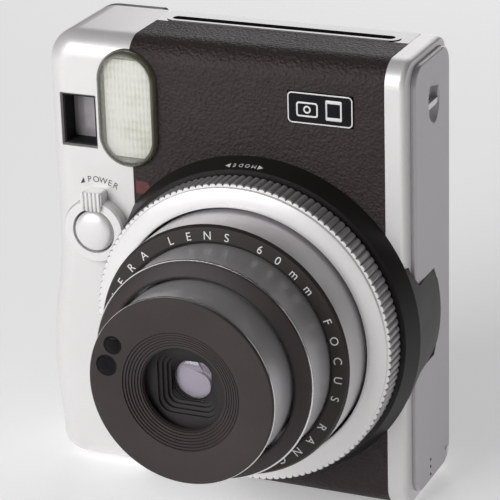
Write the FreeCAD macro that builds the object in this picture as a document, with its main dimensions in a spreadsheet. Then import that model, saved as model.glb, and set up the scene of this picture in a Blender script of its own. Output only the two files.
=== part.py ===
import FreeCAD, Part
import math
import os
import re
import Sketcher
from FreeCAD import Placement, Rotation, Vector

# An instant film camera that stands upright on four feet.
# Frame: origin in the mouth of the tripod socket under the case, +Z up, the lens looks along -Y,
# +X is to the right of somebody who faces the lens. Millimetres throughout.

doc = FreeCAD.newDocument("instant_camera")

# ---------------------------------------------------------------- driving dimensions
SIZES = (
    ("tall", 112.6, "case, bottom face to top face"),
    ("front", 14.8, "front face ahead of the socket axis"),
    ("rear", 14.8, "rear face behind the socket axis"),
    ("upper_left", 46.5, "left side above the grip"),
    ("grip_left", 50.0, "left side at the fullest part of the grip"),
    ("grip_full", 25.0, "height of the fullest part of the grip"),
    ("grip_top", 64.0, "height where the left side turns straight"),
    ("trim_left", 23.6, "left edge of the leather"),
    ("trim_right", 40.8, "right edge of the leather"),
    ("cap_side", 45.6, "side face of the right end cap"),
    ("plate_side", 46.8, "outer face of the right side plate"),
    ("wall", 2.0, "silver case wall"),
    ("edge_round", 6.0, "rounding of the case edges"),
    ("corner_round", 8.0, "top left corner seen from the front"),
    ("skin", 0.6, "leather thickness"),
    ("cover_wall", 1.6, "black cover wall under the leather"),
    ("seam", 0.1, "gap between neighbouring covers"),
    ("slack", 0.3, "gap round parts that move freely"),
    ("running", 0.05, "radial clearance of a turning fit"),
    ("rear_skin", 4.4, "depth of the rear panel and the film door"),
    ("lens_x", 8.6, "lens axis to the right of the socket axis"),
    ("lens_z", 46.1, "lens axis above the case bottom"),
    ("shroud_rad", 40.8, "shroud radius on the case"),
    ("shroud_lip", 38.9, "shroud radius at its front edge"),
    ("shroud_reach", 4.8, "shroud ahead of the case"),
    ("flare_back", 18.8, "side flare behind the front face"),
    ("flare_half", 11.2, "half height of the side flare"),
    ("dial_rad", 37.8, "mode dial radius"),
    ("dial_near", 5.1, "mode dial back edge ahead of the case"),
    ("dial_far", 12.2, "mode dial front edge ahead of the case"),
    ("base_rad", 31.5, "base barrel radius"),
    ("base_reach", 22.6, "base barrel ahead of the case"),
    ("barrel_wall", 1.2, "wall of each barrel"),
    ("middle_rad", 26.9, "middle barrel radius"),
    ("middle_reach", 34.2, "middle barrel front ahead of the case"),
    ("middle_long", 17.4, "middle barrel length"),
    ("inner_rad", 22.3, "inner barrel radius"),
    ("inner_long", 16.0, "inner barrel length"),
    ("nose_rad", 22.9, "front ring radius"),
    ("nose_reach", 46.3, "front ring face ahead of the case"),
    ("nose_deep", 4.0, "front ring rim depth"),
    ("stroke", 9.35, "travel of each barrel"),
    ("funnel_wide", 14.8, "outer radius of the ridged funnel"),
    ("funnel_small", 10.2, "inner radius of the ridged funnel"),
    ("hood_deep", 3.0, "depth of the lens hood"),
    ("glass_rad", 6.2, "front element radius"),
    ("blade_thick", 0.4, "barrier blade thickness"),
    ("blade_turn", 50.0, "barrier blade swing in degrees"),
    ("blade_pivot", 15.5, "barrier blade pivot to the left of the lens axis"),
    ("blade_pin", 0.8, "barrier blade pin radius"),
    ("flash_x", 24.2, "flash centre to the left of the socket axis"),
    ("flash_z", 95.2, "flash centre height"),
    ("flash_wide", 15.4, "flash window width"),
    ("flash_tall", 29.0, "flash window height"),
    ("flash_proud", 2.4, "flash window ahead of the case"),
    ("flash_deep", 6.7, "flash reflector behind the front face"),
    ("view_x", 37.6, "viewfinder centre to the left of the socket axis"),
    ("view_z", 90.9, "viewfinder centre height"),
    ("view_wide", 9.6, "viewfinder window width"),
    ("view_tall", 13.4, "viewfinder window height"),
    ("view_wall", 0.8, "viewfinder tunnel wall"),
    ("view_deep", 5.8, "front pane behind the front face"),
    ("power_x", 33.7, "power lever centre to the left"),
    ("power_z", 63.8, "power lever centre height"),
    ("lever_rad", 8.2, "power lever ring radius"),
    ("lever_thick", 3.0, "power lever ring ahead of the case"),
    ("release_rad", 5.3, "front shutter button radius"),
    ("release_travel", 1.2, "shutter button travel"),
    ("spring_wire", 0.22, "shutter spring wire radius"),
    ("spring_rad", 2.4, "shutter spring coil radius"),
    ("side_button_z", 21.0, "side shutter button height"),
    ("side_button_y", 1.6, "side shutter button ahead of the socket axis"),
    ("side_button_rad", 4.2, "side shutter button radius"),
    ("lamp_x", 21.3, "self timer lamp centre to the left"),
    ("lamp_wide", 3.8, "self timer lamp width"),
    ("lamp_tall", 3.3, "self timer lamp height"),
    ("lamp_z", 75.5, "self timer lamp centre height"),
    ("badge_x", 25.2, "badge plate centre to the right"),
    ("badge_z", 100.2, "badge plate centre height"),
    ("badge_wide", 16.4, "badge plate width"),
    ("badge_tall", 7.8, "badge plate height"),
    ("slot_x", 8.0, "film slot centre to the right"),
    ("slot_y", 4.6, "film slot centre behind the socket axis"),
    ("slot_long", 57.0, "film slot length"),
    ("slot_gap", 2.6, "film slot width"),
    ("deck_front", 1.8, "deck front edge behind the socket axis"),
    ("lug_y", 2.4, "strap recess centre behind the socket axis"),
    ("lug_z", 99.6, "strap recess centre height"),
    ("lug_tall", 6.9, "strap recess half height below the surface"),
    ("lug_wide", 4.5, "strap recess half width below the surface"),
    ("lug_deep", 1.8, "strap recess depth"),
    ("film_wide", 62.0, "film chamber width"),
    ("film_tall", 95.0, "film chamber height"),
    ("film_thick", 17.0, "film chamber depth"),
    ("film_floor", 6.6, "film chamber floor height"),
    ("image_wide", 46.6, "film gate width"),
    ("image_tall", 62.6, "film gate height"),
    ("frame_wall", 1.2, "film chamber wall"),
    ("roller_rad", 2.6, "pressure roller radius"),
    ("roller_gap", 0.3, "gap between the pressure rollers"),
    ("roller_z", 106.6, "pressure roller axis height"),
    ("roller_long", 58.0, "pressure roller length"),
    ("journal_rad", 1.2, "roller journal radius"),
    ("gear_thick", 1.4, "gear face width"),
    ("roller_teeth", 14, "teeth on each roller gear"),
    ("idler_teeth", 31, "teeth on each drive gear"),
    ("pinion_teeth", 10, "teeth on the motor pinion"),
    ("motor_rad", 4.9, "drive motor radius"),
    ("motor_long", 15.0, "drive motor length"),
    ("hinge_y", 11.2, "film door hinge axis behind the socket axis"),
    ("hinge_z", 5.4, "film door hinge axis height"),
    ("pin_rad", 0.9, "hinge pin radius"),
    ("knuckle_rad", 2.2, "hinge knuckle radius"),
    ("door_left", 26.2, "film door left edge"),
    ("door_right", 40.7, "film door right edge"),
    ("screen_z", 27.0, "display centre height"),
    ("screen_wide", 13.0, "display width"),
    ("screen_tall", 17.0, "display height"),
    ("panel_x", 37.4, "display and button column centre to the left"),
    ("key_wide", 5.0, "control button width"),
    ("key_tall", 3.6, "control button height"),
    ("key_travel", 0.5, "control button travel"),
    ("battery_wide", 16.0, "battery width"),
    ("battery_thick", 10.0, "battery depth"),
    ("battery_tall", 32.0, "battery height"),
    ("battery_x", 33.2, "battery centre to the left"),
    ("lid_thick", 1.6, "battery cover thickness"),
    ("socket_rad", 2.55, "tap size bore of the quarter inch tripod thread"),
    ("socket_deep", 4.6, "tripod thread length"),
    ("socket_boss", 5.0, "tripod insert flange radius"),
    ("foot_high", 0.6, "foot height"),
    ("foot_rad", 1.6, "foot radius"),
    ("foot_left", 40.6, "left feet to the left of the socket axis"),
    ("foot_right", 37.0, "right feet to the right"),
    ("foot_front", 7.6, "front feet behind the front face"),
    ("foot_rear", 7.3, "rear feet behind the socket axis"),
)
sheet = doc.addObject("Spreadsheet::Sheet", "Sizes")
for row, (alias, value, meaning) in enumerate(SIZES, 1):
    sheet.set("A%d" % row, meaning)
    sheet.set("B%d" % row, str(value))
    sheet.setAlias("B%d" % row, alias)
doc.recompute()
ALIASES = {alias for alias, value, meaning in SIZES}
SUBPARTS = []


def ex(text):
    """Write an expression with each alias named in full."""
    return re.sub(r"[a-z]\w*", lambda word: "Sizes." + word[0] if word[0] in ALIASES else word[0], text)


def size(alias):
    return float(sheet.get(alias))


def bind(thing, **properties):
    for name, text in properties.items():
        thing.setExpression(name.replace("__", "."), ex(text))


def keep(thing, label):
    """Name a finished sub-part; its label becomes its file name."""
    thing.Label = label
    SUBPARTS.append(thing)
    return thing


# ---------------------------------------------------------------- modelling steps
TURN = {"x": Rotation(Vector(0, 1, 0), 90), "y": Rotation(Vector(1, 0, 0), -90), "z": Rotation()}


def box(name, low, high):
    """A box between two corners, each given as three expressions."""
    solid = doc.addObject("Part::Box", name)
    for side, a, b in zip(("Length", "Width", "Height"), low, high):
        solid.setExpression(side, ex("(%s) - (%s)" % (b, a)))
    for axis, a in zip("xyz", low):
        solid.setExpression("Placement.Base." + axis, ex(a))
    return solid


def rod(name, axis, radius, start, long):
    """A cylinder that starts at a point and runs along +x, +y or +z."""
    solid = doc.addObject("Part::Cylinder", name)
    solid.Placement = Placement(Vector(), TURN[axis])
    bind(solid, Radius=radius, Height=long)
    for side, a in zip("xyz", start):
        solid.setExpression("Placement.Base." + side, ex(a))
    return solid


def cut(name, base, *tools):
    """Take one or more tools away from a base."""
    tool = tools[0] if len(tools) == 1 else fuse(name + "_tools", *tools)
    solid = doc.addObject("Part::Cut", name)
    solid.Base = base
    solid.Tool = tool
    return solid


def fuse(name, *pieces):
    solid = doc.addObject("Part::MultiFuse", name)
    solid.Shapes = list(pieces)
    return solid


def common(name, *pieces):
    solid = doc.addObject("Part::MultiCommon", name)
    solid.Shapes = list(pieces)
    return solid


def group(name, *pieces):
    solid = doc.addObject("Part::Compound", name)
    solid.Links = list(pieces)
    return solid


def sketch(body, name, role, x="0", y="0", out="0"):
    """A sketch on one of the body's origin planes, moved by three expressions."""
    plane = [item for item in body.Origin.OriginFeatures if item.Role == role][0]
    drawing = body.newObject("Sketcher::SketchObject", name)
    drawing.AttachmentSupport = [(plane, "")]
    drawing.MapMode = "FlatFace"
    for axis, text in zip("xyz", (x, y, out)):
        drawing.setExpression("AttachmentOffset.Base." + axis, ex(text))
    return drawing


def outline(drawing, corners):
    """A closed outline of straight lines, every corner dimensioned from the sketch's origin."""
    count = len(corners)
    spots = [Vector(math.cos(k * math.tau / count), math.sin(k * math.tau / count), 0) for k in range(count)]
    first = drawing.GeometryCount
    for k in range(count):
        drawing.addGeometry(Part.LineSegment(spots[k], spots[(k + 1) % count]), False)
    for k in range(count):
        drawing.addConstraint(Sketcher.Constraint("Coincident", first + k, 2, first + (k + 1) % count, 1))
    for k, corner in enumerate(corners):
        for kind, text in zip(("DistanceX", "DistanceY"), corner):
            index = drawing.addConstraint(Sketcher.Constraint(kind, -1, 1, first + k, 1, 1.0))
            drawing.setExpression("Constraints[%d]" % index, ex(text))


def turned(name, corners, x="lens_x", z="lens_z"):
    """A body of revolution about an axis along y; corners are (y, radius)."""
    body = doc.addObject("PartDesign::Body", name)
    profile = sketch(body, name + "_profile", "YZ_Plane", y=z, out=x)
    outline(profile, corners)
    turning = body.newObject("PartDesign::Revolution", name + "_turning")
    turning.Profile = profile
    turning.ReferenceAxis = (profile, ["H_Axis"])
    turning.Angle = 360
    return body


def block(name, low, high, axis=None, radius=None, more=()):
    """A padded rectangle between two corners, with the edges along an axis rounded."""
    body = doc.addObject("PartDesign::Body", name)
    profile = sketch(body, name + "_profile", "XY_Plane", out=low[2])
    outline(profile, ((low[0], low[1]), (high[0], low[1]), (high[0], high[1]), (low[0], high[1])))
    pad = body.newObject("PartDesign::Pad", name + "_pad")
    pad.Profile = profile
    bind(pad, Length="(%s) - (%s)" % (high[2], low[2]))
    doc.recompute()
    if axis:
        soften(body, axis, radius)
    for axis, radius, chosen in more:
        soften(body, axis, radius, chosen)
    return body


def soften(body, axis, radius, chosen=None):
    """Fillet the straight edges that run along an axis, or those that a test on their middle picks."""
    tip = body.Tip
    names = []
    for number, edge in enumerate(tip.Shape.Edges, 1):
        middle = edge.valueAt((edge.FirstParameter + edge.LastParameter) / 2)
        run = edge.Vertexes[-1].Point - edge.Vertexes[0].Point
        along = axis is None or abs(getattr(run, axis)) > 0.99 * max(run.Length, 1e-6)
        if along and (chosen is None or chosen(middle)):
            names.append("Edge%d" % number)
    fillet = body.newObject("PartDesign::Fillet", body.Name + "_fillet_%d" % len(body.Group))
    fillet.Base = (tip, names)
    bind(fillet, Radius=radius)
    body.Tip = fillet
    doc.recompute()


def feature(name, shape):
    """A shape made with Part's own functions from sizes in the sheet."""
    thing = doc.addObject("Part::Feature", name)
    thing.Shape = shape
    return thing


# ---------------------------------------------------------------- left end of the case
def bezier(*points):
    curve = Part.BezierCurve()
    curve.setPoles([Vector(x, 0, z) for x, z in points])
    return curve.toShape()


def left_outline(inset, near):
    """The left end seen from the front: straight above, full at the grip, at the depth near."""
    top = size("tall") - inset
    side = size("upper_left") - inset
    full = size("grip_left") - inset
    corner = size("corner_round") - inset
    tuck = full - 1.2
    heel = 6.5 - inset / 2
    inner = -size("trim_left") - size("seam") / 2
    knee = (size("grip_top") + size("grip_full")) / 2
    edges = [
        Part.LineSegment(Vector(inner, 0, inset), Vector(-tuck + heel, 0, inset)).toShape(),
        bezier((-tuck + heel, inset), (-tuck + heel * 0.45, inset), (-tuck, inset + heel * 0.45),
               (-tuck, inset + heel)),
        bezier((-tuck, inset + heel), (-tuck, inset + heel + 5), (-full, size("grip_full") - 8),
               (-full, size("grip_full"))),
        bezier((-full, size("grip_full")), (-full, knee), (-side, knee), (-side, size("grip_top"))),
        Part.LineSegment(Vector(-side, 0, size("grip_top")), Vector(-side, 0, top - corner)).toShape(),
        Part.Arc(Vector(-side, 0, top - corner),
                 Vector(-side + corner * (1 - math.sqrt(0.5)), 0, top - corner * (1 - math.sqrt(0.5))),
                 Vector(-side + corner, 0, top)).toShape(),
        Part.LineSegment(Vector(-side + corner, 0, top), Vector(inner, 0, top)).toShape(),
        Part.LineSegment(Vector(inner, 0, top), Vector(inner, 0, inset)).toShape(),
    ]
    face = Part.Face(Part.Wire(edges))
    face.translate(Vector(0, near, 0))
    return face


def left_solid(inset, near, far, rounding, at_front):
    """The left outline as a solid from near to far with its outer edge rounded at one end."""
    solid = left_outline(inset, near).extrude(Vector(0, far - near, 0))
    inner = -size("trim_left") - size("seam") / 2
    rim = near if at_front else far
    edges = [edge for edge in solid.Edges
             if all(abs(v.Point.y - rim) < 1e-6 for v in edge.Vertexes)
             and not all(abs(v.Point.x - inner) < 1e-6 for v in edge.Vertexes)]
    return solid.makeFillet(rounding, edges)


def left_cover():
    wall = size("wall")
    split = size("rear") - size("rear_skin")
    shell = left_solid(0, -size("front"), split, size("edge_round"), True)
    room = left_solid(wall, -size("front") + wall, split + 1, size("edge_round") - wall, True)
    bowl = feature("left_shell", shell.cut(room))
    tools = [
        grown_flash("flash_opening", "0.15"),
        box("view_opening", ("-view_x - view_wide / 2", "-front - 1", "view_z - view_tall / 2"),
            ("-view_x + view_wide / 2", "-front + wall + 1", "view_z + view_tall / 2")),
        rod("lever_opening", "y", "release_rad + slack + 1 + running", ("-power_x", "-front - 1", "power_z"),
            "wall + 2"),
        rod("side_button_opening", "x", "side_button_rad + slack",
            ("-grip_left - 2", "-side_button_y", "side_button_z"), "8"),
        box("battery_opening", ("-battery_x - battery_wide / 2 - 0.6", "-battery_thick / 2 - 0.6", "-1"),
            ("-battery_x + battery_wide / 2 + 0.6", "battery_thick / 2 + 0.6", "wall + 1")),
        scoop("left_scoop", "-upper_left - lug_deep"),
        box("left_bar", ("-upper_left + 0.3", "lug_y - lug_wide + 0.5", "lug_z - 0.7"),
            ("-upper_left + 1.1", "lug_y + lug_wide - 0.5", "lug_z + 0.7")),
    ]
    keep(cut("left_cover_solid", bowl, *tools), "left_cover")


def scoop(name, x):
    """A long shallow hollow round a strap bar, cut by an ellipsoid that stands outside the wall."""
    solid = doc.addObject("Part::Ellipsoid", name)
    bind(solid, Radius1="lug_tall", Radius2="lug_deep * 2", Radius3="lug_wide")
    for axis, text in zip("xyz", (x, "lug_y", "lug_z")):
        solid.setExpression("Placement.Base." + axis, ex(text))
    return solid


def grown_flash(name, extra, near="-front - 6", far="-front + flash_deep"):
    """The flash window's capsule outline, grown by a clearance."""
    half = "flash_wide / 2 + %s" % extra
    return block(name, ("-flash_x - (%s)" % half, near, "flash_z - flash_tall / 2 - %s" % extra),
                 ("-flash_x + %s" % half, far, "flash_z + flash_tall / 2 + %s" % extra),
                 "y", "flash_wide / 2 + %s - 0.02" % extra)


def back_panel():
    wall = size("wall")
    split = size("rear") - size("rear_skin") + size("seam")
    shell = left_solid(0, split, size("rear"), 3.0, False)
    room = left_solid(wall, split - 1, size("rear") - wall, 1.0, False)
    shape = shell.cut(room)
    edge = -size("door_left") - size("seam")
    spare = Part.makeBox(10, 20, size("tall") + 4, Vector(edge, split - 2, -2))
    bowl = feature("back_shell", shape.cut(spare))
    tools = [
        box("eyepiece_opening", ("-view_x - view_wide / 2", "rear - wall - 1", "view_z - view_tall / 2"),
            ("-view_x + view_wide / 2", "rear + 1", "view_z + view_tall / 2")),
        box("screen_opening", ("-panel_x - screen_wide / 2 - 0.05", "rear - wall - 1",
                               "screen_z - screen_tall / 2 - 0.05"),
            ("-panel_x + screen_wide / 2 + 0.05", "rear + 1", "screen_z + screen_tall / 2 + 0.05")),
    ]
    for number, height in enumerate(KEY_HEIGHTS, 1):
        tools.append(box("key_opening_%d" % number,
                         ("-panel_x - key_wide / 2 - slack", "rear - wall - 1", "%s - key_tall / 2 - slack" % height),
                         ("-panel_x + key_wide / 2 + slack", "rear + 1", "%s + key_tall / 2 + slack" % height)))
    keep(cut("back_panel_solid", bowl, *tools), "back_panel")


KEY_HEIGHTS = ["screen_z + screen_tall / 2 + %s" % step for step in (5, 11, 17, 23)]


# ---------------------------------------------------------------- middle of the case
def wrap(name, outer, thick, x0, x1, rear_edge_top, rear_edge_low):
    """A front wall that turns back over the top and under the bottom, as one padded section."""
    body = doc.addObject("PartDesign::Body", name)
    profile = sketch(body, name + "_profile", "YZ_Plane", out=x0)
    near = "-front + %s" % outer
    inside = "-front + %s + %s" % (outer, thick)
    outline(profile, (
        (near, outer), (rear_edge_low, outer), (rear_edge_low, "%s + %s" % (outer, thick)),
        (inside, "%s + %s" % (outer, thick)), (inside, "tall - %s - %s" % (outer, thick)),
        (rear_edge_top, "tall - %s - %s" % (outer, thick)), (rear_edge_top, "tall - %s" % outer),
        (near, "tall - %s" % outer)))
    pad = body.newObject("PartDesign::Pad", name + "_pad")
    pad.Profile = profile
    bind(pad, Length="(%s) - (%s)" % (x1, x0))
    doc.recompute()
    level = size(outer) if outer in ALIASES else float(outer)
    for depth, radius in ((level, "edge_round - %s" % outer),
                          (level + size(thick), "edge_round - %s - %s" % (outer, thick))):
        soften(body, "x", radius, corner_at(depth))
    return body


def corner_at(depth):
    """Pick the front corners of a section that lies at a depth inside the case."""
    near, low, high = depth - size("front"), depth, size("tall") - depth
    return lambda p: abs(p.y - near) < 0.01 and min(abs(p.z - low), abs(p.z - high)) < 0.01


def front_covers():
    edges = ("deck_front", "-front + 8")
    skin = wrap("leather_wrap", "0", "skin", "-trim_left", "trim_right", *edges)
    cover = wrap("cover_wrap", "skin", "cover_wall", "-trim_left", "trim_right", *edges)
    bore = "-front + skin + cover_wall + 1"
    keep(cut("leather_solid", skin,
             rod("leather_bore", "y", "base_rad", ("lens_x", "-front - 1", "lens_z"), "front"),
             grown_flash("leather_flash", "0.15"),
             lamp_block("lamp_bore", "-front - 1", "-2"),
             box("badge_seat", ("badge_x - badge_wide / 2", "-front - 1", "badge_z - badge_tall / 2"),
                 ("badge_x + badge_wide / 2", "-front + skin", "badge_z + badge_tall / 2"))), "front_leather")
    keep(cut("cover_solid", cover,
             rod("cover_bore", "y", "base_rad - barrel_wall - 1.3", ("lens_x", "-front - 1", "lens_z"),
                 "(%s) + front + 1" % bore),
             grown_flash("cover_flash", "0.15"),
             lamp_block("lamp_seat", "-front - 1", "-2")), "front_cover")


def lamp_block(name, near, far):
    """The lamp's outline, flat at the left and half round at the right."""
    body = block(name, ("-lamp_x - lamp_wide / 2", near, "lamp_z - lamp_tall / 2"),
                 ("-lamp_x + lamp_wide / 2", far, "lamp_z + lamp_tall / 2"))
    soften(body, "y", "lamp_tall / 2 - 0.05", lambda p: p.x > -size("lamp_x"))
    return body


def lower_cover():
    """The black bottom plate between the two ends."""
    plate = box("bottom_plate", ("-trim_left", "-front + 8 + seam", "0"),
                ("trim_right", "hinge_y - knuckle_rad - slack", "cover_wall + skin"))
    keep(cut("bottom_solid", plate, rod("socket_seat", "z", "socket_boss + 0.02", ("0", "0", "-1"), "wall + 4")),
         "bottom_cover")


def top_deck():
    deck = box("deck_plate", ("-door_left", "deck_front + seam", "tall - wall"),
               ("trim_right", "rear - rear_skin", "tall"))
    rim = block("slot_rim", ("slot_x - slot_long / 2 - 1.4", "slot_y - slot_gap / 2 - 1", "tall - wall"),
                ("slot_x + slot_long / 2 + 1.4", "slot_y + slot_gap / 2 + 1", "tall + 0.2"), "z",
                "slot_gap / 2 + 0.98")
    slot = block("slot_cutter", ("slot_x - slot_long / 2", "slot_y - slot_gap / 2", "tall - wall - 1"),
                 ("slot_x + slot_long / 2", "slot_y + slot_gap / 2", "tall + 2"), "z", "slot_gap / 2 - 0.02")
    left_relief = left_solid(0, -size("front"), size("rear") - size("rear_skin"), size("edge_round"), True)
    relief = feature("deck_relief", left_relief)
    keep(cut("deck_solid", fuse("deck_with_rim", deck, rim), slot, relief), "top_deck")


# ---------------------------------------------------------------- right end of the case
def right_end():
    outer = block("cap_outer", ("trim_right + seam", "-front", "0"), ("cap_side", "rear", "tall"),
                  None, None, ())
    soften(outer, "x", "edge_round", lambda p: p.y < 0)
    soften(outer, "x", "edge_round - 1", lambda p: p.y > 0)
    soften(outer, None, "1.2", lambda p: p.x > size("cap_side") - 0.01)
    room = block("cap_room", ("door_right", "-front + wall", "wall"), ("cap_side - wall", "rear - wall", "tall - wall"),
                 "x", "edge_round - wall - 0.5")
    seat = block("plate_seat", ("cap_side - 0.8", "-front + 4.2", "2"), ("plate_side + 2", "rear - 1.2", "tall - 2"),
                 "x", "5")
    hinge = rod("hinge_hole", "x", "pin_rad", ("trim_right", "hinge_y", "hinge_z"), "plate_side - trim_right + 1")
    keep(cut("right_cover_solid", outer, room, seat, hinge), "right_cover")
    plate = block("side_blank", ("cap_side - 0.8", "-front + 4.3", "2.1"), ("plate_side", "rear - 1.3", "tall - 2.1"),
                  "x", "4.9")
    soften(plate, None, "0.6", lambda p: p.x > size("plate_side") - 0.01)
    window = box("lug_window", ("cap_side - 1", "lug_y - lug_wide + 1", "lug_z - 2.2"),
                 ("plate_side + 1", "lug_y + lug_wide - 1", "lug_z + 2.4"))
    bar = box("right_bar", ("plate_side - 1.1", "lug_y - lug_wide + 0.6", "lug_z - 1.9"),
              ("plate_side - 0.3", "lug_y + lug_wide - 0.6", "lug_z - 0.5"))
    keep(cut("side_plate_solid", plate, scoop("right_scoop", "plate_side + lug_deep"), window,
             flare("flare_cutter", "seam"), hinge, bar), "right_side_plate")
    keep(group("strap_bars_group", bar, doc.getObject("left_bar")), "strap_bars")


def flare(name, extra):
    """The shroud's wing over the right side: a slice of its own cylinder, trimmed to a side outline."""
    disc = rod(name + "_disc", "y", "shroud_rad + %s" % extra, ("lens_x", "-front", "lens_z"), "flare_back + %s" % extra)
    side = doc.addObject("PartDesign::Body", name + "_side")
    profile = sketch(side, name + "_profile", "YZ_Plane", y="lens_z", out="cap_side - 2 * (%s)" % extra)
    half = "(flare_half + %s)" % extra
    back = "-front + flare_back + %s" % extra
    outline(profile, (
        ("-front", "-shroud_rad"), ("-front + 1.6", "-shroud_rad"), ("-front + 2.4", "-%s - 3.6" % half),
        ("-front + 5.4", "-%s" % half), ("%s - 2" % back, "-%s" % half), (back, "-%s + 3.4" % half),
        (back, "%s - 3.4" % half), ("%s - 2" % back, half), ("-front + 5.4", half),
        ("-front + 2.4", "%s + 3.6" % half), ("-front + 1.6", "shroud_rad"), ("-front", "shroud_rad")))
    pad = side.newObject("PartDesign::Pad", name + "_pad")
    pad.Profile = profile
    bind(pad, Length="8")
    return common(name, disc, side)


# ---------------------------------------------------------------- lens
def lens_shroud():
    ring = turned("shroud_ring", (
        ("-front", "shroud_rad"), ("-front - shroud_reach", "shroud_lip"),
        ("-front - shroud_reach", "base_rad + slack"), ("-front - shroud_reach + 1.4", "base_rad + slack"),
        ("-front - shroud_reach + 1.4", "shroud_lip - 1.6"), ("-front", "shroud_rad - 2")))
    taper = doc.addObject("Part::Cone", "flare_taper")
    taper.Placement = Placement(Vector(), TURN["y"])
    bind(taper, Radius1="shroud_rad", Radius2="shroud_rad - 1.6", Height="flare_back + 0.1")
    for axis, text in zip("xyz", ("lens_x", "-front - 0.05", "lens_z")):
        taper.setExpression("Placement.Base." + axis, ex(text))
    wing = common("tapered_wing", flare("flare_wing", "0"), taper)
    scallop = rod("lever_scallop", "y", "lever_rad + slack", ("-power_x", "-front - lever_thick - 1.2", "power_z"), "6")
    tab = box("lever_swing", ("-power_x", "-front - lever_thick - 1", "power_z"),
              ("-power_x + lever_rad + 1.6", "-front + 1", "power_z + lever_rad + 3"))
    keep(cut("shroud_solid", fuse("shroud_with_wing", ring, wing), scallop, tab), "lens_shroud")


def lens_rings():
    keep(turned("dial_turned", (
        ("-front - dial_near", "dial_rad - 0.6"), ("-front - dial_near - 0.6", "dial_rad"),
        ("-front - dial_far + 0.9", "dial_rad"), ("-front - dial_far", "dial_rad - 0.9"),
        ("-front - dial_far - 0.8", "base_rad + 0.9"), ("-front - dial_far - 0.4", "base_rad + slack"),
        ("-front - dial_far + 1.4", "base_rad + slack"), ("-front - dial_far + 1.4", "dial_rad - 2"),
        ("-front - dial_near", "dial_rad - 2"))), "mode_dial")
    keep(turned("base_turned", (
        ("-front - base_reach + 0.8", "base_rad"), ("-front + skin", "base_rad"),
        ("-front + skin", "base_rad - barrel_wall - 1.3"), ("-front + skin - 1.2", "base_rad - barrel_wall - 1.3"),
        ("-front + skin - 1.2", "base_rad - barrel_wall"),
        ("-front - base_reach + 0.8", "base_rad - barrel_wall"))), "lens_base_tube")
    keep(turned("lettered_turned", (
        ("-front - base_reach + 0.8", "base_rad"), ("-front - base_reach", "base_rad - 0.5"),
        ("-front - base_reach - 0.5", "middle_rad + 0.9"), ("-front - base_reach - 0.1", "middle_rad + slack"),
        ("-front - base_reach + 2.4", "middle_rad + slack"),
        ("-front - base_reach + 2.4", "base_rad - barrel_wall"),
        ("-front - base_reach + 0.8", "base_rad - barrel_wall"))), "lettered_ring")
    keep(turned("middle_turned", (
        ("-front - middle_reach + 1.2", "middle_rad"), ("-front - middle_reach + middle_long - 2", "middle_rad"),
        ("-front - middle_reach + middle_long - 2", "base_rad - barrel_wall - slack"),
        ("-front - middle_reach + middle_long", "base_rad - barrel_wall - slack"),
        ("-front - middle_reach + middle_long", "middle_rad - barrel_wall"),
        ("-front - middle_reach + 1.2", "middle_rad - barrel_wall"))), "middle_barrel")
    keep(turned("middle_ring_turned", (
        ("-front - middle_reach + 1.2", "middle_rad + 0.3"), ("-front - middle_reach", "middle_rad + 0.3"),
        ("-front - middle_reach - 0.6", "middle_rad - 0.4"), ("-front - middle_reach - 1.6", "nose_rad + 1"),
        ("-front - middle_reach - 1.2", "nose_rad + slack"), ("-front - middle_reach + 1.2", "nose_rad + slack"),
        )), "middle_ring")
    keep(turned("inner_turned", (
        ("-front - nose_reach + nose_deep", "inner_rad"),
        ("-front - nose_reach + nose_deep + inner_long - 2", "inner_rad"),
        ("-front - nose_reach + nose_deep + inner_long - 2", "middle_rad - barrel_wall - slack"),
        ("-front - nose_reach + nose_deep + inner_long", "middle_rad - barrel_wall - slack"),
        ("-front - nose_reach + nose_deep + inner_long", "inner_rad - barrel_wall"),
        ("-front - nose_reach + nose_deep", "inner_rad - barrel_wall"))), "inner_barrel")
    nose = turned("nose_turned", (
        ("-front - nose_reach + nose_deep", "nose_rad"), ("-front - nose_reach + 0.5", "nose_rad"),
        ("-front - nose_reach", "nose_rad - 0.5"), ("-front - nose_reach", "funnel_wide"),
        ("-front - nose_reach + 1.6", "funnel_small"), ("-front - nose_reach + 2.6", "funnel_small"),
        ("-front - nose_reach + 2.6", "nose_rad - 1.4"), ("-front - nose_reach + nose_deep", "nose_rad - 1.4")))
    for number, (across, up, radius) in enumerate(SENSOR_EYES, 1):
        eye = rod("sensor_bore_%d" % number, "y", radius,
                  ("lens_x - %s" % across, "-front - nose_reach - 1", "lens_z + %s" % up), "6")
        nose = cut("nose_bored_%d" % number, nose, eye)
    keep(nose, "front_ring")


# Offsets of the two sensor windows from the lens axis to the left and up, with their radii.
SENSOR_EYES = (("16.4", "9.2", "1.8"), ("18.2", "4.0", "2.15"))


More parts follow.
